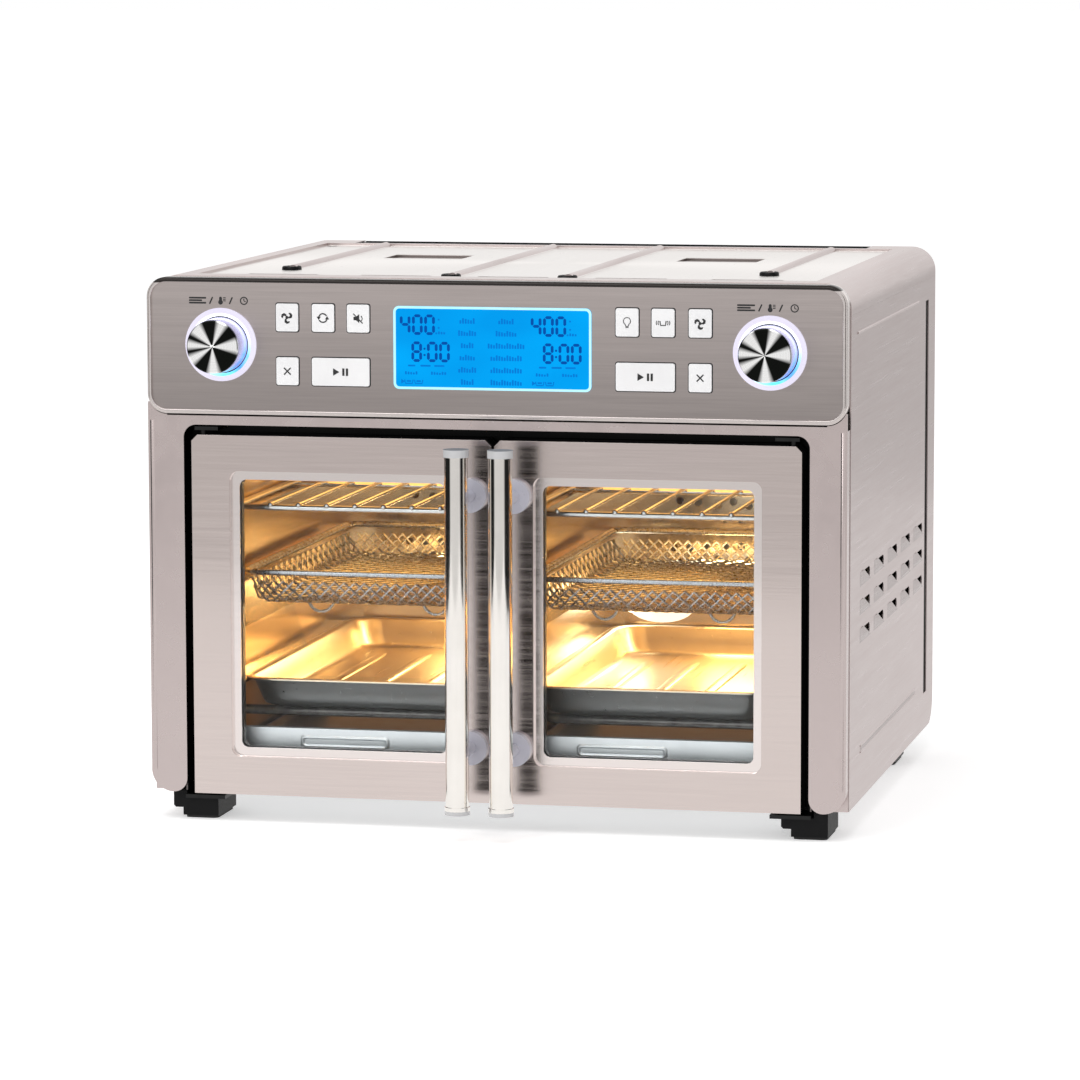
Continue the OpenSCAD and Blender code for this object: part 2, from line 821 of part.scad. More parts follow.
module door_inner(s) {
    color("#8d8a88") place() side(s) difference() {
        union() {
            along_y(skin_t, door_t - 2) door_outline(skin_t + 0.02);
            along_y(door_t - 2, door_t) door_outline(0.3);
        }
        along_y(0, ring_y + skin_t + 0.02) window_outline(window_bevel + skin_t + 0.02);
        along_y(0, 10) window_outline(3.1);
        along_y(16, 30) window_outline(3.1);
        along_y(-1, 30) window_outline(0);
        rod_z(pin_r + running, door_z - 13, door_z + 1, hinge_x, hinge_y);
        rod_z(pin_r + running, door_z0 - 1, 15, hinge_x, hinge_y);
    }
}

module window_panes(s) {
    color("#a9c4cc", 0.35) place() side(s) {
        along_y(ring_y + skin_t + 0.03, 9.4) window_outline(3);
        along_y(16, 20) window_outline(3);
    }
}

handle_z = [-1, 253.5];
cap_h = 5.5;

module handle_bar(s) {
    color("#e8e8ea") place() side(s) {
        rod_z(handle_r, handle_z[0] + cap_h, handle_z[1] - cap_h, handle_x, -handle_y);
        for (z = [handle_z[0], handle_z[1] - cap_h]) rod_z(handle_r + cap_grow, z, z + cap_h,
            handle_x, -handle_y);
    }
}

module handle_mounts(s) {
    color("#cfd0d4") place() side(s) difference() {
        for (z = handle_mount_z) {
            rod_y(12, -6, -0.02, handle_x, z);
            rod_y(4.5, -handle_y, -6 + eps, handle_x, z);
        }
        rod_z(handle_r + 0.02, -10, 260, handle_x, -handle_y);
    }
}

module left_door_skin() { door_skin(-1); }
module right_door_skin() { door_skin(1); }
module left_door_inner() { door_inner(-1); }
module right_door_inner() { door_inner(1); }
module left_window_panes() { window_panes(-1); }
module right_window_panes() { window_panes(1); }
module left_handle_bar() { handle_bar(-1); }
module right_handle_bar() { handle_bar(1); }
module left_handle_mounts() { handle_mounts(-1); }
module right_handle_mounts() { handle_mounts(1); }

// ---------------------------------------------------------------- cookware

wire_r = 1.3;
tray_edge = 1.5;
rack_y = [45, 355];
rack_reach = (zone_x1 - zone_x0) / 2 - 4.5;
// The rack's wires are set off towards its left side, so a rack fits either zone the same way round
wire_shift = -5.5;

module wire_rack(s) {
    color("#c4c4c6") place() translate([s * zone_c, 0, 0]) {
        for (y = rack_y) rod_x(rail_r, -rack_reach - rail_r, rack_reach + rail_r, y, rack_z);
        for (x = [-rack_reach, rack_reach]) rod_y(rail_r, rack_y[0], rack_y[1], x, rack_z);
        rod_x(rail_r, -rack_reach, rack_reach, (rack_y[0] + rack_y[1]) / 2, rack_z);
        for (i = [0:8])
            rod_y(wire_r, rack_y[0] - 2, rack_y[1] + 2, (i - 4) * wire_pitch + wire_shift,
                rack_z + 2.4);
    }
}

// Open tapered vessel of wall thickness t, upright over its uppermost part
module vessel(w, l, h, upright, taper, r, t) {
    difference() {
        hull() {
            translate([0, 0, h - upright]) linear_extrude(upright)
                rounded(-w / 2, w / 2, -l / 2, l / 2, r, $fn = 32);
            linear_extrude(1) rounded(-w / 2 + taper, w / 2 - taper, -l / 2 + taper, l / 2 - taper,
                r, $fn = 32);
        }
        hull() {
            translate([0, 0, h - upright]) linear_extrude(upright + 1)
                rounded(-w / 2 + t, w / 2 - t, -l / 2 + t, l / 2 - t, r - t, $fn = 32);
            translate([0, 0, t]) linear_extrude(1)
                rounded(-w / 2 + taper + t, w / 2 - taper - t, -l / 2 + taper + t,
                    l / 2 - taper - t, r - t, $fn = 32);
        }
    }
}

rim_edge = zone_x1 - 9.5;
rim_in = zone_x0 + 9.5;
rim_w_flat = 5.5;
vessel_t = 0.9;
vessel_w = rim_edge - rim_in - 2 * rim_w_flat;
basket_y = [43, 347];
basket_depth = 25;
basket_foot_x = 42.5;
basket_foot_y = [88, 302];
basket_foot_r = 10;
pan_y = [36, 366];
pan_depth = 22;

// Flat rim of a vessel whose corners have radius r; its inner edge lies within the vessel's wall
module rim_ring(y0, y1, z0, z1, r) {
    d = rim_w_flat + vessel_t / 2;
    translate([0, 0, z0]) linear_extrude(z1 - z0) difference() {
        rounded(rim_in, rim_edge, y0, y1, r + rim_w_flat - 0.5);
        rounded(rim_in + d, rim_edge - d, y0 + d, y1 - d, r - vessel_t / 2);
    }
}

module mesh_basket(s) {
    c = (rim_in + rim_edge) / 2;
    yc = (basket_y[0] + basket_y[1]) / 2;
    z0 = basket_z - basket_depth;
    color("#b9b9bb") place() side(s) {
        rim_ring(basket_y[0], basket_y[1], basket_z - 4.5, basket_z, 9);
        translate([c, yc, z0]) vessel(vessel_w, basket_y[1] - basket_y[0] - 2 * rim_w_flat,
            basket_depth - 1, 5, 7, 9, vessel_t);
        // Wire feet under the basket
        for (x = [c - basket_foot_x, c + basket_foot_x], y = basket_foot_y) {
            translate([x, y, z0 + 0.5]) rotate([-90, 0, 0]) intersection() {
                rotate_extrude() translate([basket_foot_r, 0]) circle(r = wire_r);
                translate([-20, 0, -5]) cube([40, 20, 10]);
            }
        }
    }
}

module bake_pan(s) {
    c = (rim_in + rim_edge) / 2;
    yc = (pan_y[0] + pan_y[1]) / 2;
    color("#d6a24a") place() side(s) {
        rim_ring(pan_y[0], pan_y[1], pan_z - 2, pan_z, 19);
        translate([c, yc, pan_z - pan_depth]) vessel(vessel_w,
            pan_y[1] - pan_y[0] - 2 * rim_w_flat, pan_depth - 0.5, 3, 10, 19, vessel_t);
    }
}

module crumb_tray(s) {
    x0 = zone_x0 + 3;
    x1 = zone_x1 - 3;
    y0 = liner_y0 + 2;
    y1 = liner_y1 - 4;
    z0 = liner_z0 + 0.3;
    color("#cfcfd1") place() side(s) {
        box(x0, x1, y0, y1, z0, z0 + 1);
        box(x0, x1, y0, y0 + tray_edge, z0, 44);
        box(x0, x1, y0, y0 + 7, 42.8, 44);
        for (x = [x0, x1 - tray_edge]) box(x, x + tray_edge, y0, y1, z0, z0 + 7);
        box(x0, x1, y1 - tray_edge, y1, z0, z0 + 7);
    }
}

module left_wire_rack() { wire_rack(-1); }
module right_wire_rack() { wire_rack(1); }
module left_mesh_basket() { mesh_basket(-1); }
module right_mesh_basket() { mesh_basket(1); }
module left_bake_pan() { bake_pan(-1); }
module right_bake_pan() { bake_pan(1); }
module left_crumb_tray() { crumb_tray(-1); }
module right_crumb_tray() { crumb_tray(1); }

module left_fan_button() { button(0); }
module sync_button() { button(1); }
module mute_button() { button(2); }
module left_cancel_button() { button(3); }
module left_start_button() { button(4); }
module lamp_button() { button(5); }
module shake_button() { button(6); }
module right_fan_button() { button(7); }
module right_start_button() { button(8); }
module right_cancel_button() { button(9); }

outer_wrap();
rear_cover();
base_plate();
front_frame();
panel_rim();
control_panel();
display_panel();
halo_rings();
control_board();
power_board();
cavity_liner();
insulation();
zone_divider();
rack_guides();
upper_heaters();
lower_heaters();
fan_motors();
fan_grilles();
oven_lamps();
feet();
foot_pads();
hinge_brackets();
cord_gland();
case_screws();
left_door_skin();
left_door_inner();
left_window_panes();
left_handle_bar();
left_handle_mounts();
right_door_skin();
right_door_inner();
right_window_panes();
right_handle_bar();
right_handle_mounts();
left_knob();
left_knob_cap();
left_knob_sleeve();
right_knob();
right_knob_cap();
right_knob_sleeve();
left_fan_button();
sync_button();
mute_button();
left_cancel_button();
left_start_button();
lamp_button();
shake_button();
right_fan_button();
right_start_button();
right_cancel_button();
left_fan_wheel();
right_fan_wheel();
left_wire_rack();
left_mesh_basket();
left_bake_pan();
left_crumb_tray();
right_wire_rack();
right_mesh_basket();
right_bake_pan();
right_crumb_tray();
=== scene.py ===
import json
import math

import bmesh
import bpy
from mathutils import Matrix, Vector

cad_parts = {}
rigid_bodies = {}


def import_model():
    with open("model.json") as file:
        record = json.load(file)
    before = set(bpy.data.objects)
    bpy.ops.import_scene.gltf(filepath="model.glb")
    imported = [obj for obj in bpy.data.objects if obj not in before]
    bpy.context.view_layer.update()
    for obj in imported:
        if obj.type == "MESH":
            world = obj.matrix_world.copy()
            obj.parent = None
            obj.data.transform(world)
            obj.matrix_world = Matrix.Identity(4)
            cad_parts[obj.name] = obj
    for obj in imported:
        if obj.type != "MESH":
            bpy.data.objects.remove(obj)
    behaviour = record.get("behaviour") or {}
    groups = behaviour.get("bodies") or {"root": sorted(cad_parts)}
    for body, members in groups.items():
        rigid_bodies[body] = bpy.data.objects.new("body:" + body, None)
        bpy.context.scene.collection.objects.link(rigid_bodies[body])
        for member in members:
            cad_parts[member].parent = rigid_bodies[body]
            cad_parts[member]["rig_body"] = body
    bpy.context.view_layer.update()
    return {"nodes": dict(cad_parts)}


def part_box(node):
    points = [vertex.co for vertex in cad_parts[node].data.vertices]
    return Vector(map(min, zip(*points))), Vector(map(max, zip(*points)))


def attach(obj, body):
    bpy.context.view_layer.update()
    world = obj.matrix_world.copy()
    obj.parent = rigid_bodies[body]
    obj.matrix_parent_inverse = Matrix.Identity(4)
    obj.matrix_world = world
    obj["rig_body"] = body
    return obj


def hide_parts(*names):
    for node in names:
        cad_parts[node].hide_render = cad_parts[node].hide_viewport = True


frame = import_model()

NODES = frame["nodes"]

# ---------------------------------------------------------------- places

FRONT_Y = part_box("control_panel")[0].y
BODY_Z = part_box("outer_wrap")[0].z
SIDES = {"left": -1, "right": 1}

# Distances in mm
RECESS_DEPTH = 3.2  # the top's panel under the crowns of its ribs
ROD_PROUD = 0.8  # the wrap's widest ribs over its side walls


def at(x, y, z):
    """A point given in mm from the middle of the body's front plane, at the body's bottom."""
    return Vector((x / 1000, FRONT_Y + y / 1000, BODY_Z + z / 1000))


def centre(node):
    """The middle of a CAD node's box, in mm from the same place."""
    lo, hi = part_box(node)
    mid = (lo + hi) / 2
    return mid.x * 1000, (mid.y - FRONT_Y) * 1000, (mid.z - BODY_Z) * 1000


def edges(node):
    """A CAD node's box as x0, x1, y0, y1, z0, z1 in the same mm."""
    lo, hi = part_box(node)
    return (
        lo.x * 1000, hi.x * 1000, (lo.y - FRONT_Y) * 1000, (hi.y - FRONT_Y) * 1000,
        (lo.z - BODY_Z) * 1000, (hi.z - BODY_Z) * 1000,
    )


# ---------------------------------------------------------------- material helpers


class Nodes:
    """Short calls for the nodes of one tree."""

    def __init__(self, tree):
        self.tree = tree

    def put(self, socket, value):
        if isinstance(value, bpy.types.NodeSocket):
            self.tree.links.new(value, socket)
        else:
            socket.default_value = value

    def node(self, kind, inputs=None, **settings):
        n = self.tree.nodes.new(kind)
        for key, value in settings.items():
            setattr(n, key, value)
        for key, value in (inputs or {}).items():
            self.put(n.inputs[key], value)
        return n

    def maths(self, operation, a, b=0.0):
        return self.node("ShaderNodeMath", {0: a, 1: b}, operation=operation).outputs[0]

    def times(self, product, *factors):
        for factor in factors:
            product = self.maths("MULTIPLY", product, factor)
        return product

    def spread(self, value, low=0.0, high=1.0, start=0.3, end=0.7):
        """Maps start to end onto low to high."""
        limits = {"From Min": start, "From Max": end, "To Min": low, "To Max": high}
        return self.node("ShaderNodeMapRange", {"Value": value, **limits}).outputs["Result"]

    def mix(self, fac, a, b, **settings):
        n = self.node("ShaderNodeMix", data_type="RGBA", **settings)
        self.put(n.inputs[0], fac)
        for socket, value in ((n.inputs[6], a), (n.inputs[7], b)):
            self.put(socket, rgba(value) if isinstance(value, tuple) else value)
        return n.outputs[2]

    def ramp(self, value, ends, stops):
        """Colour ramp that starts and ends alike, with stops of place and colour between."""
        n = self.node("ShaderNodeValToRGB", {"Fac": value})
        marks = n.color_ramp.elements
        marks[0].color = marks[1].color = rgba(ends)
        for place, colour in stops:
            marks.new(place).color = rgba(colour)
        return n.outputs["Color"]


class Paint(Nodes):
    """A material with one Principled shader: a new one by its name, or one that is painted over."""

    def __init__(self, mat, **values):
        if isinstance(mat, str):
            mat = bpy.data.materials.new(mat)
            mat.use_nodes = True
        super().__init__(mat.node_tree)
        self.mat = mat
        self.shader = self.tree.nodes["Principled BSDF"]
        for key, value in values.items():
            self.shader.inputs[key.replace("_", " ")].default_value = value

    def place(self, scale, move=(0, 0, 0)):
        coord = self.node("ShaderNodeTexCoord").outputs["Object"]
        inputs = {"Vector": coord, "Scale": scale, "Location": move}
        return self.node("ShaderNodeMapping", inputs).outputs["Vector"]

    def noise(self, scale, detail=3.0, rough=0.55, move=(0, 0, 0)):
        """Noise scaled by one number, or by one for each axis."""
        if not isinstance(scale, tuple):
            scale = (scale, scale, scale)
        inputs = {"Vector": self.place(scale, move), "Scale": 1.0}
        inputs.update({"Detail": detail, "Roughness": rough})
        return self.node("ShaderNodeTexNoise", inputs).outputs["Fac"]

    def blend(self, value, low, high):
        """Drifts from one colour to another with a noise."""
        return self.mix(self.spread(value), low, high)

    def uneven(self, value, colour, contrast):
        return self.blend(value, shade(colour, 1 - contrast), shade(colour, 1 + contrast))

    def average(self, a, b):
        return self.node("ShaderNodeMix", {0: 0.5, 2: a, 3: b}, data_type="FLOAT").outputs[0]

    def position(self):
        """x, y and z in the shared frame, in metres."""
        coord = self.node("ShaderNodeTexCoord").outputs["Object"]
        return self.node("ShaderNodeSeparateXYZ", {0: coord}).outputs

    def behind(self, depth, fade=0.0012):
        """0 in front of the given depth in mm behind the body's front, 1 behind it."""
        start = FRONT_Y + depth / 1000
        return self.spread(self.position()[1], 0.0, 1.0, start, start + fade)

    def bump(self, height, strength, distance):
        inputs = {"Height": height, "Strength": strength, "Distance": distance}
        self.feed("Normal", self.node("ShaderNodeBump", inputs).outputs["Normal"])

    def feed(self, socket, value):
        self.tree.links.new(value, self.shader.inputs[socket])

    def base(self):
        """What the base colour is fed with so far."""
        return self.shader.inputs["Base Color"].links[0].from_socket

    def cover(self, fac, colour):
        """Paints over the base colour where fac is 1."""
        self.feed("Base Color", self.mix(fac, self.base(), colour))


def rgba(colour):
    return (*colour[:3], 1.0)


def shade(colour, k):
    return tuple(min(1.0, c * k) for c in colour[:3])


STREAK, HAIR = (7, 330), (21, 1221)


def brushed(name, colour, rough, grain, contrast=0.09, anisotropy=0.55, bump=0.06):
    """Brushed steel: streaks run along the axis named by grain."""
    p = Paint(name, Metallic=1.0, Anisotropic=anisotropy)
    long, fine = (
        tuple(along if axis == grain else across for axis in "xyz")
        for along, across in (STREAK, HAIR)
    )
    both = p.average(p.noise(long, 3.0, 0.6), p.noise(fine, 2.0, 0.6, (3.1, 1.7, 0.4)))
    cloud = p.spread(p.noise(6, 2.0), 0.0, 0.35)
    p.feed("Base Color", p.mix(cloud, p.uneven(both, colour, contrast), shade(colour, 0.94)))
    p.feed("Roughness", p.spread(both, rough - 0.05, rough + 0.07))
    p.bump(both, bump, 0.0004)
    tangent = p.node("ShaderNodeTangent", direction_type="RADIAL", axis="Z")
    p.feed("Tangent", tangent.outputs["Tangent"])
    return p.mat


def painted_behind(mat, depth, colour, fade=0.0012):
    """Covers everything behind that depth in mm."""
    p = Paint(mat)
    p.cover(p.behind(depth, fade), colour)
    return mat


def frame_gap_shade(mat):
    """Painted shade: black on the frame's return round the doors, behind its front plate, where the
    gaps round the doors fall dark.
    """
    p = Paint(mat)
    edge = edges("right_door_skin")[1] / 1000 + 0.006
    inner = p.spread(p.maths("ABSOLUTE", p.position()[0]), 1.0, 0.0, edge, edge + 0.002)
    # Painted shade: near-black where the return faces the door gaps.
    p.cover(p.times(inner, p.behind(1.7)), (0.008, 0.008, 0.008))
    return mat


def seam_line(node, start, end, below):
    """Painted shade along the joint between two depths, down to the distance below from the panel's
    top, all in mm.
    """
    p = Paint(NODES[node].material_slots[0].material)
    z = BODY_Z + (edges("control_panel")[5] - below) / 1000
    high = p.spread(p.position()[2], 0.0, 1.0, z, z + 0.0005)
    ahead = p.maths("SUBTRACT", 1.0, p.behind(end))
    p.cover(p.times(high, p.behind(start), ahead), (0.05, 0.045, 0.043))


def top_shade(mat):
    """Painted highlight on the panel between the ribs of the top, a lighter copy of the steel, with
    painted shade on the floors of the pockets pressed into it.
    """
    p = Paint(mat)
    _, x1, _, _, _, top = edges("outer_wrap")
    x, _, z = p.position()
    panel = BODY_Z + (top - RECESS_DEPTH) / 1000
    within = p.spread(p.maths("ABSOLUTE", x), 1.0, 0.0, x1 / 1000 - 0.03, x1 / 1000 - 0.028)
    over = p.spread(z, 0.0, 1.0, panel - 0.0005, panel - 0.0004)
    under = p.spread(z, 1.0, 0.0, panel + 0.0004, panel + 0.0005)
    # Painted highlight: the panel takes the lighter copy of the steel.
    p.cover(p.times(over, under, within), TOP_PAINTED_HIGHLIGHT)
    deep = p.spread(z, 1.0, 0.0, panel - 0.0007, panel - 0.0004)
    shallow = p.spread(z, 0.0, 1.0, panel - 0.0047, panel - 0.0037)
    # Painted shade: a darker copy of the steel on the pocket floors.
    p.cover(p.times(deep, shallow, within), shade(STEEL, 0.42))
    return mat


def painted_shade_below(mat, z0, z1, k):
    """Painted shade: lets the tone fall by the factor k from height z1 down to z0, in metres."""
    p = Paint(mat)
    z = p.position()[2]
    fall = p.node("ShaderNodeCombineColor", {i: p.spread(z, k, 1.0, z0, z1) for i in range(3)})
    p.feed("Base Color", p.mix(1.0, p.base(), fall.outputs[0], blend_type="MULTIPLY"))
    return mat


def metal(name, colour, rough, scale=90, contrast=0.08, bump=0.03, depth=0.0003):
    """Plain metal with a slightly uneven tone and gloss."""
    p = Paint(name, Metallic=1.0)
    tone, wear = p.noise(scale), p.noise(scale * 4, 2.0, 0.6, (2, 5, 1))
    p.feed("Base Color", p.uneven(tone, colour, contrast))
    p.feed("Roughness", p.spread(p.average(tone, wear), rough - 0.04, rough + 0.08))
    p.bump(wear, bump, depth)
    return p.mat


def plastic(
    name, colour, rough, grain=900, contrast=0.12, bump=0.25, depth=0.0003, coat=0.0, gloss=0.5
):
    """Moulded plastic or rubber with a fine moulded grain."""
    p = Paint(name, Coat_Weight=coat, Specular_IOR_Level=gloss)
    pores = p.noise(grain, 2.0, 0.6)
    p.feed("Base Color", p.uneven(p.noise(40, 2.0), colour, contrast))
    p.feed("Roughness", p.spread(pores, rough - 0.06, rough + 0.08))
    p.bump(pores, bump, depth)
    return p.mat


def glowing(name, colour, glow, strength, second, scale=60, rough=0.3):
    """A lit surface whose glow drifts a little between two tints."""
    p = Paint(name, Roughness=rough, Emission_Strength=strength, Specular_IOR_Level=0.05)
    drift = p.noise(scale, 2.0)
    p.feed("Base Color", p.blend(drift, colour, shade(colour, 0.9)))
    p.feed("Emission Color", p.blend(drift, glow, second))
    return p.mat


# ---------------------------------------------------------------- materials

STEEL = (0.70, 0.615, 0.59)
CASING = (0.60, 0.52, 0.51)
# Painted highlight for the top's panel: a lighter copy of the steel.
TOP_PAINTED_HIGHLIGHT = (0.84, 0.81, 0.79)
FASCIA = (0.56, 0.50, 0.485)
PANE = (0.97, 0.98, 0.98)


def glass_material():
    """Clear pane that lets lamps through."""
    p = Paint(
        "window_glass_clear",
        Roughness=0.02, IOR=1.16, Transmission_Weight=1.0, Base_Color=rgba(PANE),
    )
    p.feed("Roughness", p.spread(p.noise(9), 0.0, 0.03))
    clear = p.node("ShaderNodeBsdfTransparent", {"Color": rgba(PANE)})
    path = p.node("ShaderNodeLightPath").outputs
    either = p.maths("MAXIMUM", path["Is Shadow Ray"], path["Is Diffuse Ray"])
    mix = p.node(
        "ShaderNodeMixShader", {"Fac": either, 1: p.shader.outputs[0], 2: clear.outputs[0]}
    )
    p.put(p.tree.nodes["Material Output"].inputs["Surface"], mix.outputs[0])
    return p.mat


def display_material():
    """Backlit liquid-crystal glass: bright in the middle, with a faint cell grid."""
    p = Paint("display_backlit", Roughness=0.3, Emission_Strength=1.0, Specular_IOR_Level=0.02)
    cells = p.noise(1400, 0.0)
    blue = p.blend(p.noise((18, 18, 30), 1.0), (0.0, 0.31, 0.80), (0.0, 0.39, 0.92))
    p.feed("Emission Color", p.mix(p.spread(cells, 0.0, 0.2), blue, (0.0, 0.25, 0.7)))
    p.feed("Base Color", p.blend(cells, (0.0, 0.03, 0.08), (0.0, 0.04, 0.1)))
    return p.mat


def galvanised_material():
    """Zinc-coated sheet with its crystal pattern."""
    p = Paint("zinc_sheet", Metallic=1.0)
    cells = p.node("ShaderNodeTexVoronoi", {"Vector": p.place((160, 160, 160)), "Scale": 1.0})
    grey = p.node("ShaderNodeRGBToBW", {"Color": cells.outputs["Color"]}).outputs[0]
    p.feed("Base Color", p.blend(grey, (0.42, 0.43, 0.44), (0.56, 0.57, 0.58)))
    p.feed("Roughness", p.spread(grey, 0.3, 0.5))
    p.bump(grey, 0.05, 0.0002)
    return p.mat


def board_material():
    """Green circuit board with copper tracks under the lacquer."""
    p = Paint("circuit_board", Roughness=0.35)
    tracks = p.node(
        "ShaderNodeTexBrick",
        {
            "Vector": p.place((90, 90, 90)), "Scale": 1.0, "Color1": rgba((0.02, 0.16, 0.06)),
            "Color2": rgba((0.03, 0.2, 0.08)), "Mortar": rgba((0.1, 0.32, 0.12)),
            "Mortar Size": 0.03,
        },
    )
    p.feed("Base Color", tracks.outputs["Color"])
    p.bump(tracks.outputs["Fac"], 0.1, 0.0002)
    return p.mat


def wool_material():
    p = Paint("mineral_wool", Roughness=0.95)
    fibre = p.noise((240, 60, 240), 5.0, 0.7)
    p.feed("Base Color", p.blend(fibre, (0.42, 0.36, 0.22), (0.75, 0.7, 0.56)))
    p.bump(fibre, 0.6, 0.002)
    return p.mat


def handle_material():
    """Polished bar, with painted shade on its back where it faces the door, and light grey end
    caps.
    """
    p = Paint("handle_polished", Metallic=1.0)
    tone = p.noise(40)
    front = p.blend(tone, (0.90, 0.87, 0.83), (0.96, 0.93, 0.89))
    caps = p.blend(tone, (0.5, 0.5, 0.51), (0.54, 0.54, 0.55))
    _, _, y0, y1, low, high = edges("right_handle_bar")
    z = p.position()[2]
    start, end = BODY_Z + (low + 2.5) / 1000, BODY_Z + (high - 5.5) / 1000
    below_cap = p.spread(z, 1.0, 0.0, end, end + 0.0005)
    bar = p.times(below_cap, p.spread(z, 0.0, 1.0, start, start + 0.0005))
    # Painted shade: near-black on the back half of the bar, standing in for the dark reflection
    # there.
    dark = p.times(p.behind((y0 + y1) / 2 + 2.4), bar)
    p.feed("Base Color", p.mix(bar, caps, p.mix(dark, front, (0.02, 0.018, 0.016))))
    p.feed("Metallic", bar)
    p.feed("Roughness", p.spread(tone, 0.05, 0.1))
    return p.mat


def pan_material():
    """Bright inside, with painted shade: a darker tone on the sides that face down."""
    p = Paint("pan_coated", Metallic=1.0)
    scratch = p.noise((400, 12, 400), 3.0, 0.6)
    inside = p.blend(p.noise(60), (0.80, 0.68, 0.50), (0.86, 0.74, 0.56))
    facing = p.node("ShaderNodeNewGeometry").outputs["Normal"]
    z = p.node("ShaderNodeSeparateXYZ", {0: facing}).outputs[2]
    # Painted shade: faces that look down take the dark tone.
    p.feed("Base Color", p.mix(p.spread(z, 1.0, 0.0, -0.2, -0.02), inside, (0.30, 0.295, 0.29)))
    p.feed("Roughness", p.spread(scratch, 0.27, 0.32))
    p.bump(scratch, 0.012, 0.0002)
    return p.mat


# Painted highlights: the bright wedges of the spun knob face, in degrees anticlockwise from the
# right
PAINTED_HIGHLIGHT_WEDGES = ((-12, 19), (55, 77), (118, 148), (166, 184), (200, 222), (260, 286))


def dial_ramp(p, side, ends, marks):
    """Colours round a dial by degrees, as for the wedges, and the flat vector from its middle."""
    coord = p.node("ShaderNodeTexCoord").outputs["Object"]
    mid = at(*centre(side + "_knob_cap"))
    local = p.node("ShaderNodeVectorMath", {0: coord, 1: mid}, operation="SUBTRACT").outputs[0]
    x, _, z = p.node("ShaderNodeSeparateXYZ", {0: local}).outputs
    flat = p.node("ShaderNodeCombineXYZ", {0: x, 1: z}).outputs[0]
    turn = p.node("ShaderNodeTexGradient", {"Vector": flat}, gradient_type="RADIAL").outputs["Fac"]
    stops = [((degrees / 360 + 0.5) % 1, colour) for degrees, colour in marks]
    return p.ramp(turn, ends, stops), flat


WEDGE_EDGE = 5.5  # half the soft edge of a wedge, in degrees


def knob_face_material(side):
    """Radially spun face with painted highlights: bright and dark wedges in its colour and its
    glow, standing in for the light its grooves catch.
    """
    p = Paint("spun_face_" + side, Metallic=1.0, Anisotropic=0.5, Emission_Strength=0.22)
    dark, bright = (0.004, 0.005, 0.004), (1.0, 1.0, 1.0)
    marks = []
    for start, end in PAINTED_HIGHLIGHT_WEDGES:
        marks += [(start - WEDGE_EDGE, dark), (start + WEDGE_EDGE, bright)]
        marks += [(end - WEDGE_EDGE, bright), (end + WEDGE_EDGE, dark)]
    wedges, flat = dial_ramp(p, side, bright, marks)
    far = p.node("ShaderNodeVectorMath", {0: flat}, operation="LENGTH").outputs["Value"]
    groove = {"W": p.maths("MULTIPLY", far, 3500.0), "Scale": 1.0}
    rings = p.node("ShaderNodeTexNoise", groove, noise_dimensions="1D").outputs["Fac"]
    p.feed("Base Color", p.mix(p.spread(rings, 0.0, 0.3), wedges, (0.03, 0.03, 0.03)))
    # Painted highlight: the wedges also glow.
    p.feed("Emission Color", wedges)
    p.feed("Roughness", p.spread(rings, 0.14, 0.24))
    return p.mat


MATERIALS = {
    "casing_steel": brushed("casing_brushed", CASING, 0.3, "y", 0.03, 0.55, 0.004),
    "bright_steel": brushed("rim_polished", (0.78, 0.72, 0.70), 0.22, "x", 0.02, 0.3, 0.004),
    "panel_steel": brushed("fascia_brushed", FASCIA, 0.33, "x", 0.10),
    "door_steel": brushed("door_brushed", STEEL, 0.27, "x", 0.06),
    "door_frame": brushed("door_inner_satin", (0.5, 0.48, 0.47), 0.38, "x", 0.06),
    "handle_chrome": handle_material(),
    "mount_metal": plastic("mount_satin", (0.56, 0.55, 0.62), 0.3, 60, 0.06, 0.02, 0.0003, 0.5),
    "window_glass": glass_material(),
    "black_plastic": plastic("black_moulded", (0.005, 0.005, 0.0055), 0.5, bump=0.15, gloss=0.16),
    "foot_rubber": plastic("rubber_sole", (0.02, 0.02, 0.02), 0.8, 500, 0.2, 0.4),
    "galvanised": galvanised_material(),
    "oven_liner": brushed("liner_coated", (0.84, 0.66, 0.42), 0.2, "y", 0.08, 0.3, 0.03),
    "guide_steel": metal("guide_coated", (0.86, 0.7, 0.46), 0.16, 70, 0.08),
    "insulation_wool": wool_material(),
    "heater_metal": metal("heater_sheath", (0.36, 0.34, 0.33), 0.34, 120, 0.25),
    "motor_metal": metal("motor_can", (0.45, 0.45, 0.46), 0.35, 80),
    "fan_metal": metal("fan_alloy", (0.7, 0.66, 0.6), 0.3, 80),
    "lamp_glass": glowing("lamp_lit", (0.9, 0.8, 0.55), (1.0, 0.82, 0.5), 9.0, (1.0, 0.9, 0.66)),
    "board_green": board_material(),
    "display_blue": display_material(),
    "knob_dark": metal("knob_side_polished", (0.62, 0.62, 0.80), 0.2, 150, 0.04, 0.02),
    "sleeve_brass": metal("brass", (0.72, 0.5, 0.22), 0.25, 150),
    "button_white": plastic(
        "button_moulded", (0.83, 0.825, 0.83), 0.32, 1500, 0.03, 0.05, 0.0001, 0.3
    ),
    "rack_wire": metal("rack_chrome", (0.62, 0.62, 0.62), 0.16, 200, 0.06),
    "basket_wire": metal("basket_steel", (0.46, 0.47, 0.49), 0.26, 260, 0.1),
    "pan_steel": pan_material(),
    "tray_steel": metal("tray_bright", (0.9, 0.93, 0.96), 0.42, 30, 0.05, 0.04, 0.0008),
    "screw_steel": metal("screw_zinc", (0.55, 0.54, 0.52), 0.3, 300, 0.1),
}
PRINT = plastic("panel_print", (0.015, 0.015, 0.016), 0.5, 700, 0.15, 0.1)
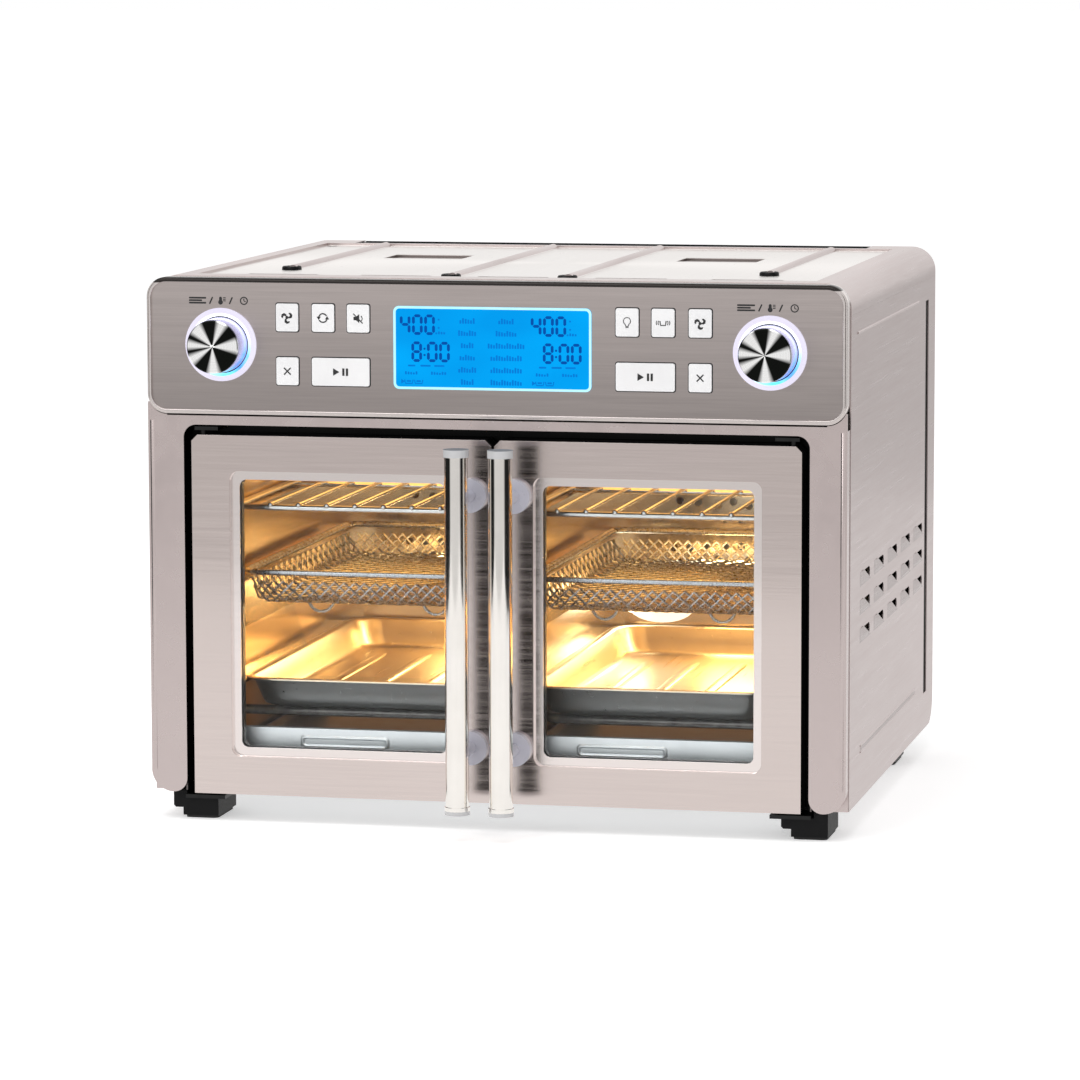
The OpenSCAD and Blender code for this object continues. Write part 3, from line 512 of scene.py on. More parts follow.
# Painted shade: a darker copy of the casing steel, for the louvre scoops and the side seams.
LOUVRE = brushed("louvre_brushed", shade(CASING, 0.72), 0.28, "y", 0.05, 0.55, 0.02)
# Painted light: the glow of the plates beside the oven lamps; the plates are no lamps themselves.
PAINTED_LAMP_GLOW = glowing(
    "lamp_reflector", (0.9, 0.8, 0.6), (1.0, 0.88, 0.64), 1.15, (1.0, 0.96, 0.86), 30
)
DIGIT = glowing(
    "display_digit", (0.0, 0.02, 0.08), (0.0, 0.055, 0.30), 1.0, (0.0, 0.065, 0.34), 200, 0.2
)
WORD = glowing(
    "display_word", (0.0, 0.04, 0.14), (0.0, 0.15, 0.52), 1.0, (0.0, 0.17, 0.58), 200, 0.2
)
BORDER = glowing(
    "display_border", (0.1, 0.2, 0.25), (0.40, 0.86, 0.98), 0.95, (0.55, 0.92, 1.0)
)

# Light past the knob by the same degrees: cyan underneath, blue low on the right, else white
GLOW_WHITE = (0.85, 0.84, 1.0)
GLOW_TINTS = (
    (-130, GLOW_WHITE), (-105, (0.2, 0.85, 0.9)), (-85, (0.05, 0.7, 0.95)),
    (-50, (0.03, 0.2, 0.95)), (-20, (0.12, 0.4, 1.0)), (15, (0.6, 0.66, 1.0)), (60, GLOW_WHITE),
)


def blue_glow_material(side):
    p = Paint("knob_glow_" + side, Roughness=0.3, Emission_Strength=1.3)
    tints, _ = dial_ramp(p, side, GLOW_WHITE, GLOW_TINTS)
    cloud = p.spread(p.noise(120, 1.0), 0.0, 0.2)
    p.feed("Emission Color", p.mix(cloud, tints, (0.8, 0.9, 1.0)))
    p.feed("Base Color", tints)
    return p.mat


def paint(node, material):
    for slot in NODES[node].material_slots:
        slot.material = material


def paint_nodes():
    for o in NODES.values():
        for slot in o.material_slots:
            key = slot.material.name.split(".")[0]
            if key in MATERIALS:
                slot.material = MATERIALS[key]
    paint("front_frame", frame_gap_shade(metal("frame_satin", CASING, 0.24, 22, 0.02, 0.0)))
    paint("outer_wrap", top_shade(MATERIALS["casing_steel"].copy()))
    # Painted shade: the hinge brackets are near-black, so the door gaps they sit in read dark.
    paint("hinge_brackets", metal("hinge_black", (0.03, 0.03, 0.03), 0.4, 150))
    for side in SIDES:
        paint(side + "_knob_cap", knob_face_material(side))
        skin = brushed(side + "_door_brushed", STEEL, 0.16, "x", 0.05, 0.7, 0.02)
        # Painted highlight: a lighter tone on the window bezel, from 0.5 mm behind the door's
        # front.
        painted_behind(skin, 0.5, (0.86, 0.79, 0.77), 0.0008)
        # Painted shade: near-black on the door's sides and on everything 4.6 mm or more behind its
        # front.
        paint(side + "_door_skin", painted_behind(skin, 4.6, (0.012, 0.012, 0.012)))
        back = brushed(side + "_door_back", (0.2, 0.19, 0.185), 0.38, "x", 0.06)
        paint(side + "_door_inner", back)
    z0, z1 = (BODY_Z + z / 1000 for z in edges("control_panel")[4:])
    # Painted shade: the fascia darker towards its bottom.
    paint("control_panel", painted_shade_below(MATERIALS["panel_steel"], z0, z1, 0.68))
    seam_line("control_panel", 2.2, 8.0, 3.0)
    seam_line("panel_rim", -20.0, 8.0, 1.1)
    ring = ((0.32, 0.30, 0.36), (0.78, 0.74, 0.92), 0.72, (0.88, 0.85, 0.98), 45)
    paint("halo_rings", glowing("lit_ring", *ring))


# ---------------------------------------------------------------- shape helpers


class Shape:
    """Collects vertices, in metres in the shared frame, and faces, then becomes one piece."""

    def __init__(self):
        self.verts = []
        self.faces = []

    def add(self, verts, faces):
        n = len(self.verts)
        self.verts += [tuple(v) for v in verts]
        self.faces += [tuple(n + i for i in f) for f in faces]

    def slab(self, outline, y0, y1):
        """An outline in mm of x and z, extruded in y; it runs anticlockwise seen from the front."""
        n = len(outline)
        verts = [at(x, y, z) for y in (y0, y1) for x, z in outline]
        faces = [tuple(range(n)), tuple(range(2 * n - 1, n - 1, -1))]
        faces += [(i, i + n, (i + 1) % n + n, (i + 1) % n) for i in range(n)]
        self.add(verts, faces)

    def band(self, outer, inner, y0, y1):
        """A closed band between two outlines with the same number of points."""
        n = len(outer)
        verts = [at(x, y, z) for y in (y0, y1) for ring in (outer, inner) for x, z in ring]
        faces = []
        for i in range(n):
            j = (i + 1) % n
            faces += [(i, j, j + n, i + n), (i + 2 * n, i + 3 * n, j + 3 * n, j + 2 * n)]
            faces += [(i, i + 2 * n, j + 2 * n, j), (i + n, j + n, j + 3 * n, i + 3 * n)]
        self.add(verts, faces)

    def tube(self, points, radius, sides=6, closed=False):
        """A round wire along points, in metres."""
        points = [Vector(p) for p in points]
        n = len(points)
        rings, normal = [], None
        for i, p in enumerate(points):
            back = points[(i - 1) % n] if closed or i else p
            ahead = points[(i + 1) % n] if closed or i < n - 1 else p
            along = (ahead - back).normalized()
            if normal is None:
                helper = Vector((0, 0, 1)) if abs(along.z) < 0.9 else Vector((1, 0, 0))
                normal = along.cross(helper).normalized()
            normal = (normal - along * normal.dot(along)).normalized()
            side = along.cross(normal)
            rings.append([p + (normal * c + side * d) * radius for c, d in circle(sides)])
        faces = []
        for i in range(n if closed else n - 1):
            j = (i + 1) % n
            for k in range(sides):
                m = (k + 1) % sides
                faces.append((i * sides + k, i * sides + m, j * sides + m, j * sides + k))
        if not closed:
            faces.append(tuple(reversed(range(sides))))
            faces.append(tuple((n - 1) * sides + k for k in range(sides)))
        self.add([v for ring in rings for v in ring], faces)

    def loft(self, rings, closed_loop=False):
        """Skins rings of points in metres; the first and last are capped unless they join."""
        n = len(rings[0])
        faces = []
        count = len(rings)
        for i in range(count if closed_loop else count - 1):
            j = (i + 1) % count
            faces += [
                (i * n + k, i * n + (k + 1) % n, j * n + (k + 1) % n, j * n + k) for k in range(n)
            ]
        if not closed_loop:
            faces.append(tuple(reversed(range(n))))
            faces.append(tuple((count - 1) * n + k for k in range(n)))
        self.add([v for ring in rings for v in ring], faces)

    def bead(self, middle, radius, sides=10, rows=6):
        """A round bead whose axis runs along y."""
        rings = []
        for r in range(1, rows):
            a = math.pi * r / rows
            wide, along = radius * math.sin(a), -radius * math.cos(a)
            rings.append([middle + Vector((wide * c, along, wide * d)) for c, d in circle(sides)])
        self.loft(rings)

    def build(self, name, material, body, slot, smooth=40):
        mesh = bpy.data.meshes.new(name)
        mesh.from_pydata(self.verts, [], self.faces)
        mesh.update()
        o = bpy.data.objects.new(name, mesh)
        bpy.context.scene.collection.objects.link(o)
        mesh.materials.append(material)
        turn_outwards(mesh)
        mesh.polygons.foreach_set("use_smooth", [True] * len(mesh.polygons))
        mesh.set_sharp_from_angle(angle=math.radians(smooth))
        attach(o, body)
        return o


def circle(steps):
    """Cosine and sine of each step round a circle."""
    turns = (2 * math.pi * i / steps for i in range(steps))
    return [(math.cos(t), math.sin(t)) for t in turns]


def turn_outwards(mesh, merge=0.0):
    """Makes the faces look out, after joining corners that lie closer together than merge."""
    b = bmesh.new()
    b.from_mesh(mesh)
    if merge:
        bmesh.ops.remove_doubles(b, verts=b.verts, dist=merge)
    bmesh.ops.recalc_face_normals(b, faces=b.faces)
    b.to_mesh(mesh)
    b.free()


def round_box(x0, x1, z0, z1, r, steps=5):
    """Rounded rectangle as points, anticlockwise from the lower right corner."""
    points = []
    left, right, low, high = x0 + r, x1 - r, z0 + r, z1 - r
    for cx, cz, start in ((right, low, -90), (right, high, 0), (left, high, 90), (left, low, 180)):
        for i in range(steps + 1):
            a = math.radians(start + 90 * i / steps)
            points.append((cx + r * math.cos(a), cz + r * math.sin(a)))
    return points


def disc(cx, cz, r, steps=20):
    return [(cx + r * c, cz + r * s) for c, s in circle(steps)]


def stroke(points, width):
    """Outline of a line of that width through the points, in mm."""
    left, right = [], []
    for i, (x, z) in enumerate(points):
        ax, az = points[max(i - 1, 0)]
        bx, bz = points[min(i + 1, len(points) - 1)]
        d = math.hypot(bx - ax, bz - az) or 1.0
        nx, nz = -(bz - az) / d * width / 2, (bx - ax) / d * width / 2
        left.append((x + nx, z + nz))
        right.append((x - nx, z - nz))
    return right + left[::-1]


def arc(cx, cz, r, start, end, steps=14):
    turns = (math.radians(start + (end - start) * i / steps) for i in range(steps + 1))
    return [(cx + r * math.cos(t), cz + r * math.sin(t)) for t in turns]


# ---------------------------------------------------------------- display

DISPLAY_LIP_X, DISPLAY_LIP_Z = 5, 2
PRINT_T = 0.12
SEGMENTS = {"0": "abcdef", "4": "bcfg", "8": "abcdefg"}


class Print(Shape):
    """Flat marks that stand a little proud of a face."""

    def __init__(self, face):
        super().__init__()
        self.y0, self.y1 = face - PRINT_T, face + 0.05

    def mark(self, outline, proud=0.0):
        self.slab(outline, self.y0 - proud, self.y1)

    def line(self, points, width, proud=0.0):
        self.mark(stroke(points, width), proud)

    def bar(self, x0, x1, z0, z1, r, steps=5):
        self.mark(round_box(x0, x1, z0, z1, r, steps))

    def ring(self, outer, inner):
        self.band(outer, inner, self.y0, self.y1)

    def word(self, x, z, long, seed, tall=3.9):
        """A row of short bars of uneven height, as a plain stand-in for a word."""
        step, bar = 1.9, 1.25
        count = max(3, round(long / step))
        low = z - tall / 2
        for i in range(count):
            height = tall * (0.62 + 0.38 * ((i * 7 + seed * 3) % 4) / 3)
            a = x - count * step / 2 + i * step
            self.bar(a, a + bar, low, low + height, 0.3, 2)

    def tray(self, x, z):
        """A small open tray."""
        self.line([(x - 3, z + 1.2), (x - 2.4, z - 1.4), (x + 2.4, z - 1.4), (x + 3, z + 1.2)], 0.8)
        self.bar(x - 1.6, x + 1.6, z - 0.3, z + 0.9, 0.5, 3)


DIGIT_W, DIGIT_H, DIGIT_BAR, DIGIT_PITCH = 7.6, 14.3, 2.0, 8.75
COLON_GAP = 2.4

# Figures, where they start in x, their height over the display's middle, and the room for a colon
FIGURES = (("400", (-65.8, 27.6), 9.0, 0.0), ("800", (-57.6, 36.1), -9.9, COLON_GAP))

# Lengths of the function rows, by the middle of their column
COLUMNS = {-17.4: (12, 13, 10, 11, 13, 9), 10.3: (12, 16, 26, 23, 23, 23)}
ROW_TOP, ROW_PITCH = 19.2, 8.52
ZONE_SHIFT = 93.4


def segment_outline(kind, x, z):
    """One bar of a seven-segment digit as a hexagon; x, z is the digit's lower left corner."""
    gap, half = 0.35, DIGIT_BAR / 2
    mid, top, right = z + DIGIT_H / 2, z + DIGIT_H, x + DIGIT_W
    flat = {"a": top - half, "d": z + half, "g": mid}
    if kind in flat:
        c, a, b = flat[kind], x + half + gap, right - half - gap
    else:
        c = x + half if kind in "ef" else right - half
        a, b = (z + half + gap, mid - gap) if kind in "ec" else (mid + gap, top - half - gap)
    hexagon = [
        (a, c), (a + half, c - half), (b - half, c - half), (b, c), (b - half, c + half),
        (a + half, c + half),
    ]
    # An upright bar is the same hexagon with its axes swapped, run through the other way
    return hexagon if kind in flat else [(v, u) for u, v in hexagon[:1] + hexagon[:0:-1]]


def display_pieces():
    x0, x1, front, _, z0, z1 = edges("display_panel")
    x0, x1, z0, z1 = x0 + DISPLAY_LIP_X, x1 - DISPLAY_LIP_X, z0 + DISPLAY_LIP_Z, z1 - DISPLAY_LIP_Z
    mid = (z0 + z1) / 2
    border, rim = Print(front), 1.7
    border.ring(
        round_box(x0, x1, z0, z1, 4), round_box(x0 + rim, x1 - rim, z0 + rim, z1 - rim, 2.6)
    )
    border.build("display_border", BORDER, "oven", "display_blue")

    digits, words = Print(front), Print(front)
    for figures, starts, rise, gap in FIGURES:
        z = mid + rise
        for start in starts:
            for i, figure in enumerate(figures):
                x = start + i * DIGIT_PITCH + (gap if i else 0)
                for kind in SEGMENTS[figure]:
                    digits.mark(segment_outline(kind, x, z))
            if gap:
                for dz in (4.2, 8.6):
                    digits.bar(start + 8.7, start + 10.1, z + dz, z + dz + 1.4, 0.4)
    for row in range(6):
        for column, lengths in COLUMNS.items():
            words.word(column, mid + ROW_TOP - row * ROW_PITCH, lengths[row], row)
    for shift in (0, ZONE_SHIFT):
        for a, b in ((-60.1, -54.9), (-51.2, -43.9), (-41.3, -34.0)):
            words.bar(a + shift, b + shift, mid - 13.1, mid - 11.9, 0.5)
        for a, b in ((-62.7, -52.3), (-43.9, -31.9)):
            words.word((a + b) / 2 + shift, mid - 17.6, b - a, 1, 2.2)
        for x in (-59.5, -52.5):
            words.tray(x + shift, mid - 23.6)
        x, z = -65.0 + shift, mid - 23.6
        words.mark([(x, z - 1.6), (x + 2.6, z), (x, z + 1.6)])
        for rise in (19.8, 14.04):
            words.mark(disc(-38.0 + shift, mid + rise, 0.7, 10))
        words.word(-36.6 + shift, mid + 10.6, 7.5, 0, 2.0)
    digits.build("display_digits", DIGIT, "oven", "display_blue")
    words.build("display_marks", WORD, "oven", "display_blue")


# ---------------------------------------------------------------- button and panel prints

# A fan blade's outline: degrees ahead of its root and distance from the hub's middle
BLADE = (
    (-8, 0.9), (4, 2.3), (22, 3.7), (48, 4.4), (72, 4.2),
    (88, 3.5), (80, 2.8), (64, 2.9), (46, 2.3), (38, 1.2),
)


def fan_icon(s, x, z):
    """Three curved blades round a hub."""
    for root in (100, 220, 340):
        turns = [(math.radians(root + ahead), r) for ahead, r in BLADE]
        s.mark([(x + r * math.cos(t), z + r * math.sin(t)) for t, r in turns])
    s.mark(disc(x, z, 1.1, 12))


def sync_icon(s, x, z):
    """Two arrows that chase each other round a circle."""
    r, ahead, back, wide = 3.0, 1.4, 0.9, 1.5
    for turn in (0, 180):
        s.line(arc(x, z, r, turn + 30, turn + 165), 0.9)
        c, d = math.cos(math.radians(turn + 180)), math.sin(math.radians(turn + 180))
        foot = (x + r * c + d * back, z + r * d - c * back)
        s.mark([
            (x + r * c - d * ahead, z + r * d + c * ahead),
            (foot[0] + c * wide, foot[1] + d * wide), (foot[0] - c * wide, foot[1] - d * wide),
        ])


def mute_icon(s, x, z):
    """A loudspeaker crossed out."""
    s.mark([
        (x - 3.2, z - 1.2), (x - 1.4, z - 1.2), (x + 0.9, z - 3.2), (x + 0.9, z + 3.2),
        (x - 1.4, z + 1.2), (x - 3.2, z + 1.2),
    ])
    s.line([(x - 3.4, z + 3.4), (x + 3.4, z - 3.4)], 0.7, 0.03)
    s.line(arc(x + 0.6, z, 2.4, -50, 50, 8), 0.6)


def cross_icon(s, x, z):
    for sign in (1, -1):
        s.line([(x - 2.4, z - 2.4 * sign), (x + 2.4, z + 2.4 * sign)], 0.9, 0.01 * sign)


def play_icon(s, x, z):
    """Start triangle beside two pause bars."""
    s.mark([(x - 5.4, z - 2.6), (x - 0.9, z), (x - 5.4, z + 2.6)])
    for dx in (2.0, 4.6):
        s.bar(x + dx - 0.8, x + dx + 0.8, z - 2.6, z + 2.6, 0.2, 2)


def bulb_icon(s, x, z):
    s.line(arc(x, z + 0.9, 2.5, -55, 235, 18), 0.55)
    for dx in (-1.25, 1.25):
        s.line([(x + dx * 1.1, z - 1.2), (x + dx * 0.8, z - 2.4)], 0.55)
    for dz in (-2.7, -3.5):
        s.bar(x - 1.1, x + 1.1, z + dz - 0.25, z + dz + 0.25, 0.2, 2)


def shake_icon(s, x, z):
    """A basket between two pairs of shake marks."""
    s.line([(x - 2.2, z + 1.3), (x - 1.7, z - 1.7), (x + 1.7, z - 1.7), (x + 2.2, z + 1.3)], 0.8)
    for sign in (-1, 1):
        for far in (3.5, 4.8):
            s.line(arc(x + sign * (far - 2.2), z, 2.2, 90 - sign * 130, 90 - sign * 50, 8), 0.55)


BUTTON_FLANGE = 1.8
ICONS = {
    "left_fan_button": fan_icon, "sync_button": sync_icon, "mute_button": mute_icon,
    "left_cancel_button": cross_icon, "left_start_button": play_icon, "lamp_button": bulb_icon,
    "shake_button": shake_icon, "right_fan_button": fan_icon, "right_start_button": play_icon,
    "right_cancel_button": cross_icon,
}


def button_pieces():
    for node, icon in ICONS.items():
        x, _, z = centre(node)
        s = Print(edges(node)[2])
        icon(s, x, z)
        s.build(node + "_icon", PRINT, NODES[node].get("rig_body"), "button_white")


def button_gap_shades():
    """Painted shade: a dark band round every button, where the gap round it falls into shade."""
    face = edges("control_panel")[2]
    s = Shape()
    for node in ICONS:
        x0, x1, _, _, z0, z1 = edges(node)
        outer, inner = (
            round_box(x0 + inset, x1 - inset, z0 + inset, z1 - inset, r)
            for inset, r in ((BUTTON_FLANGE - 0.75, 1.9), (BUTTON_FLANGE - 0.02, 1.2))
        )
        s.band(outer, inner, face - 0.05, face + 0.05)
    s.build("button_gap_shades", PRINT, "oven", "panel_steel")


LABEL_RISE = 31


def label_pieces():
    """Signs above each knob: menu lines, a thermometer and a clock, with slashes between."""
    for side in SIDES:
        x, _, z = centre(side + "_knob_cap")
        z += LABEL_RISE
        s = Print(edges("control_panel")[2])
        for rise, wide in ((1.75, 12.5), (0.0, 9.5), (-1.75, 12.5)):
            s.bar(x - 23, x - 23 + wide, z + rise - 0.6, z + rise + 0.6, 0.4, 2)
        for slash in (x - 6.9, x + 7.5):
            s.line([(slash - 1.1, z - 2.4), (slash + 1.1, z + 2.4)], 1.0)
        s.bar(x - 1.0, x + 1.0, z - 1.0, z + 2.7, 0.9, 3)
        s.mark(disc(x, z - 1.2, 1.7, 14), 0.01)
        for rise in (-0.2, 0.9, 2.0):
            s.bar(x + 1.8, x + 3.8, z + rise - 0.3, z + rise + 0.3, 0.2, 2)
        clock = x + 17
        s.ring(disc(clock, z, 2.9, 24), disc(clock, z, 2.1, 24))
        s.line([(clock, z + 1.6), (clock, z), (clock + 1.3, z - 0.7)], 0.7)
        s.build(side + "_knob_label", PRINT, "oven", "panel_steel")


def knob_glow_pieces():
    """Thin lit ring at the foot of each knob."""
    y0 = edges("halo_rings")[2]
    for side in SIDES:
        x0, x1, *_ = edges(side + "_knob")
        x, _, z = centre(side + "_knob_cap")
        r = (x1 - x0) / 2
        s = Shape()
        s.band(disc(x, z, r + 2.6, 72), disc(x, z, r + 0.75, 72), y0 - 0.25, y0 + 1.0)
        s.build(side + "_knob_glow", blue_glow_material(side), "oven", "halo_light")


# ---------------------------------------------------------------- cookware

WIRE_R = 0.78
MESH_PITCH = 7.5
FLANGE = 5.5
BASKET_TAPER, BASKET_DEPTH, BASKET_FILLET, BASKET_CORNER = 7.0, 24.0, 7.0, 12.0
RIM_R, FOOT_BOW = 2.2, 10


def basket_surface(side):
    """Half sizes of the tub's floor, its wall's length, and a map from the flat cloth to space."""
    x0, x1, y0, y1, _, rim = edges(side + "_mesh_basket")
    cx, cy = (x0 + x1) / 2, (y0 + y1) / 2
    slope, r = math.atan2(BASKET_DEPTH, BASKET_TAPER), BASKET_CORNER
    a, b = (half - FLANGE - BASKET_TAPER - 1.2 for half in ((x1 - x0) / 2, (y1 - y0) / 2))
    bend = BASKET_FILLET / slope
    run, climb = bend * math.sin(slope), bend * (1 - math.cos(slope))
    wall = BASKET_FILLET + (BASKET_DEPTH - 1.4 - climb) / math.sin(slope)
    floor_z = rim - BASKET_DEPTH - 0.4

    def profile(s):
        """Way out and up at the distance s from the floor's edge."""
        if s <= BASKET_FILLET:
            return bend * math.sin(s / bend), bend * (1 - math.cos(s / bend))
        rest = s - BASKET_FILLET
        return run + rest * math.cos(slope), climb + rest * math.sin(slope)

    def wrap(near, far, along):
        """Bends a wall at the distance near round the corner with its neighbour at far."""
        d = along - (far - r)
        if d <= 0:
            return near, along
        t = d / r * math.pi / 4
        return near - r + r * math.cos(t), far - r + r * math.sin(t)

    def place(u, v, lift):
        over_u, over_v = abs(u) - a, abs(v) - b
        s = max(over_u, over_v, 0.0)
        out, rise = profile(s)
        if s <= 0:
            x, y = abs(u), abs(v)
            dx, dy = x - (a - r), y - (b - r)
            if dx > 0 and dy > 0 and math.hypot(dx, dy) > r:
                k = r / math.hypot(dx, dy)
                x, y = a - r + dx * k, b - r + dy * k
            tilt = 0.0
        else:
            if min(over_u, over_v) > out + 0.01:
                return None
            further, higher = profile(s + 0.1)
            tilt = math.atan2(higher - rise, further - out)
            away = -math.sin(tilt) * lift
            if over_u >= over_v:
                x, y = wrap(a + out, b + out, abs(v))
                x += away
            else:
                y, x = wrap(b + out, a + out, abs(u))
                y += away
        up = math.cos(tilt) * lift
        return at(cx + math.copysign(x, u), cy + math.copysign(y, v), floor_z + rise + up)

    return a, b, wall, place


def basket_piece(side):
    """Tub of straight crossing wires, a rolled rim and four bows as feet."""
    a, b, wall, place = basket_surface(side)
    s = Shape()
    reach_u, reach_v = a + wall, b + wall
    steps = int((reach_u + reach_v) / MESH_PITCH) + 1
    half = MESH_PITCH / 2
    lift = WIRE_R * 0.85
    for sign in (1, -1):
        for k in range(-steps, steps + 1):
            runs = [[]]
            for m in range(-2 * steps + k % 2, 2 * steps + 1, 2):
                u, v = (k + m) * half, sign * (k - m) * half
                over = 1 if ((k + m) // 2 + (k - m) // 2) % 2 else -1
                point = None
                if abs(u) <= reach_u and abs(v) <= reach_v:
                    point = place(u, v, over * sign * lift)
                if point is not None:
                    runs[-1].append(point)
                else:
                    runs.append([])
            for run in runs:
                if len(run) > 1:
                    s.tube(run, WIRE_R / 1000, 5)
    x0, x1, y0, y1, _, rim = edges(side + "_mesh_basket")
    z = rim - RIM_R
    for inset, corner, radius, sides in ((RIM_R, 13, RIM_R, 12), (FLANGE + 0.2, 9, 1.1, 8)):
        loop = round_box(x0 + inset, x1 - inset, y0 + inset, y1 - inset, corner, 8)
        s.tube([at(x, y, z) for x, y in loop], radius / 1000, sides, True)
    for fx in ((x0 + x1) / 2 + dx for dx in (-42.5, 42.5)):
        for fy in (y0 + 45, y1 - 45):
            bow = arc(0, 0, FOOT_BOW, 180, 360, 16)
            foot = [at(fx + x, fy, rim - BASKET_DEPTH + 1.15 * min(0.0, z)) for x, z in bow]
            s.tube(foot, 1.2 / 1000, 8)
    slot = "basket_wire"
    o = s.build(side + "_woven_basket", MATERIALS[slot], side + "_mesh_basket", slot, 60)
    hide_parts(side + "_mesh_basket")


# The pan's closed section: distance in from the rim's edge, height over the rim, corner radius
PAN_FLOOR, PAN_UNDER = (18.0, -21.1, 15.0), (18.0, -22.0, 15.0)
PAN_SECTION = (
    (0.3, -1.7, 23.6), (0.0, -1.0, 24.0), (0.35, -0.3, 23.8), (1.1, 0.0, 23.2), (4.6, 0.0, 20.2),
    (5.8, -0.5, 19.4), (6.5, -1.6, 18.8), (9.6, -11.0, 18.2), (12.2, -18.0, 18.0),
    (13.4, -20.0, 17.6), (15.4, -20.9, 16.5), PAN_FLOOR, PAN_UNDER, (15.2, -21.8, 17.2),
    (12.6, -20.6, 18.4), (11.2, -18.2, 19.0), (8.6, -11.0, 19.4), (5.5, -1.9, 20.0),
    (4.4, -1.0, 20.6), (1.2, -1.0, 23.0), (0.9, -1.7, 23.2),
)


def pan_piece(side):
    """Pressed pan with a rolled rim, a tapered wall and long ribs in its floor."""
    x0, x1, y0, y1, _, rim = edges(side + "_bake_pan")
    s = Shape()

    def ring(inset, drop, r):
        loop = round_box(x0 + inset, x1 - inset, y0 + inset, y1 - inset, r, 8)
        return [at(x, y, rim + drop) for x, y in loop]

    s.loft([ring(*row) for row in PAN_SECTION], True)
    for row in (PAN_FLOOR, PAN_UNDER):
        loop = ring(*row)
        s.add(loop, [tuple(range(len(loop)))])
    cx, cy = (x0 + x1) / 2, (y0 + y1) / 2
    for dx in (-54, -18, 18, 54):
        rib(s, cx + dx, cy - 95, cy + 120, rim + PAN_FLOOR[1] - 0.1, 9.0, 1.5)
    o = s.build(side + "_pressed_pan", MATERIALS["pan_steel"], side + "_bake_pan", "pan_steel", 50)
    turn_outwards(o.data, 1e-6)
    o.data.set_sharp_from_angle(angle=math.radians(50))
    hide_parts(side + "_bake_pan")


def rib(s, x, y0, y1, z, w, h):
    """A long low ridge with run-out ends."""
    rows, cols = 12, 8
    rings = []
    for i in range(rows + 1):
        t = i / rows
        k = math.sin(math.pi * min(t, 1 - t, 0.12) / 0.24) if 0 < t < 1 else 0.05
        half, y = w / 2 * (0.4 + 0.6 * k), y0 + (y1 - y0) * t
        crown = [at(x + half * c, y, z + h * k * d) for c, d in circle(2 * cols)[: cols + 1]]
        rings.append(crown + [at(x - half, y, z - 0.3), at(x + half, y, z - 0.3)])
    s.loft(rings)


def rack_piece(side):
    """Round ends on the rack's wires."""
    x0, x1, y0, y1, _, top = edges(side + "_wire_rack")
    s = Shape()
    for i in range(-4, 5):
        for y in (y0 + 0.6, y1 - 0.6):
            s.bead(at((x0 + x1) / 2 + i * 20.8 - 5.5, y, top - 1.3), 0.0021)
    s.build(side + "_rack_beads", MATERIALS["rack_wire"], side + "_wire_rack", "rack_wire", 80)


# The grip's rings: way forward, half width, half height and corner radius
GRIP_SECTION = (
    (0.3, 33, 5, 3.4), (-1.1, 31.5, 3.6, 2.88), (-1.2, 30.9, 3.0, 2.4), (-0.4, 29.8, 2.0, 1.6),
    (0.3, 29.2, 1.6, 1.28),
)
GRIP_X = {"left": -10, "right": -18}


def tray_piece(side):
    """Pressed grip on the crumb tray's front lip."""
    x0, x1, y, _, z0, _ = edges(side + "_crumb_tray")
    cx, cz = (x0 + x1) / 2 + GRIP_X[side], z0 + 13.4
    s = Shape()
    s.loft([
        [at(px, y + dy, pz) for px, pz in round_box(cx - w, cx + w, cz - h, cz + h, r, 4)]
        for dy, w, h, r in GRIP_SECTION
    ])
    s.build(side + "_tray_grip", MATERIALS["tray_steel"], side + "_crumb_tray", "tray_steel", 25)


LOUVRE_Y = [81 + 66.5 * i for i in range(5)]
LOUVRE_Z = (117, 137, 157)


def louvre_pieces():
    """Pressed scoops over the side vents: each rises towards a dark opening at its upper rear."""
    wall = edges("outer_wrap")[1] - ROD_PROUD
    for side, sign in SIDES.items():
        s = Shape()
        for y in LOUVRE_Y:
            for z in LOUVRE_Z:
                scoop(s, sign, wall, y, z)
        # The scoops take the darker copy of the casing steel: painted shade.
        s.build(side + "_louvre_scoops", LOUVRE, "oven", "casing_steel", 12)


# The scoop's outline in y and z, and how far each corner rises off the wall
SCOOP = (
    (-24, -5.2, 0.02), (24, -5.2, 0.02), (24, -4.6, 0.72), (-8.0, 5.2, 0.72), (-24, 5.2, 0.02),
)


def scoop(s, sign, wall, y, z):
    outer, inner = (
        [at(sign * (wall + up - thick), y + dy, z + dz) for dy, dz, up in SCOOP]
        for thick in (0, 0.35)
    )
    crown = at(sign * (wall + 0.5), y - 2, z - 1)
    n = len(SCOOP)
    faces = [(i, (i + 1) % n, 2 * n) for i in range(n)]
    faces += [(i, n + i, n + (i + 1) % n, (i + 1) % n) for i in range(n)]
    faces += [tuple(range(2 * n - 1, n - 1, -1))]
    s.add(outer + inner + [crown], faces)


LAMP_GLOW_X, LAMP_GLOW_Z, LAMP_GLOW_W, LAMP_GLOW_H = 48, 92, 26, 13


def painted_glow_plates():
    """Painted light: glowing oval plates beside the oven lamps, low on the rear wall."""
    s = Shape()
    for sign in SIDES.values():
        x, z = sign * LAMP_GLOW_X, LAMP_GLOW_Z
        s.loft([
            [at(x + LAMP_GLOW_W * k * c, y, z + LAMP_GLOW_H * k * d) for c, d in circle(32)]
            for k, y in ((1.0, 371.9), (0.96, 371.0), (0.6, 370.7), (0.05, 370.6))
        ])
    s.build("painted_glow_plates", PAINTED_LAMP_GLOW, "oven", "oven_liner")


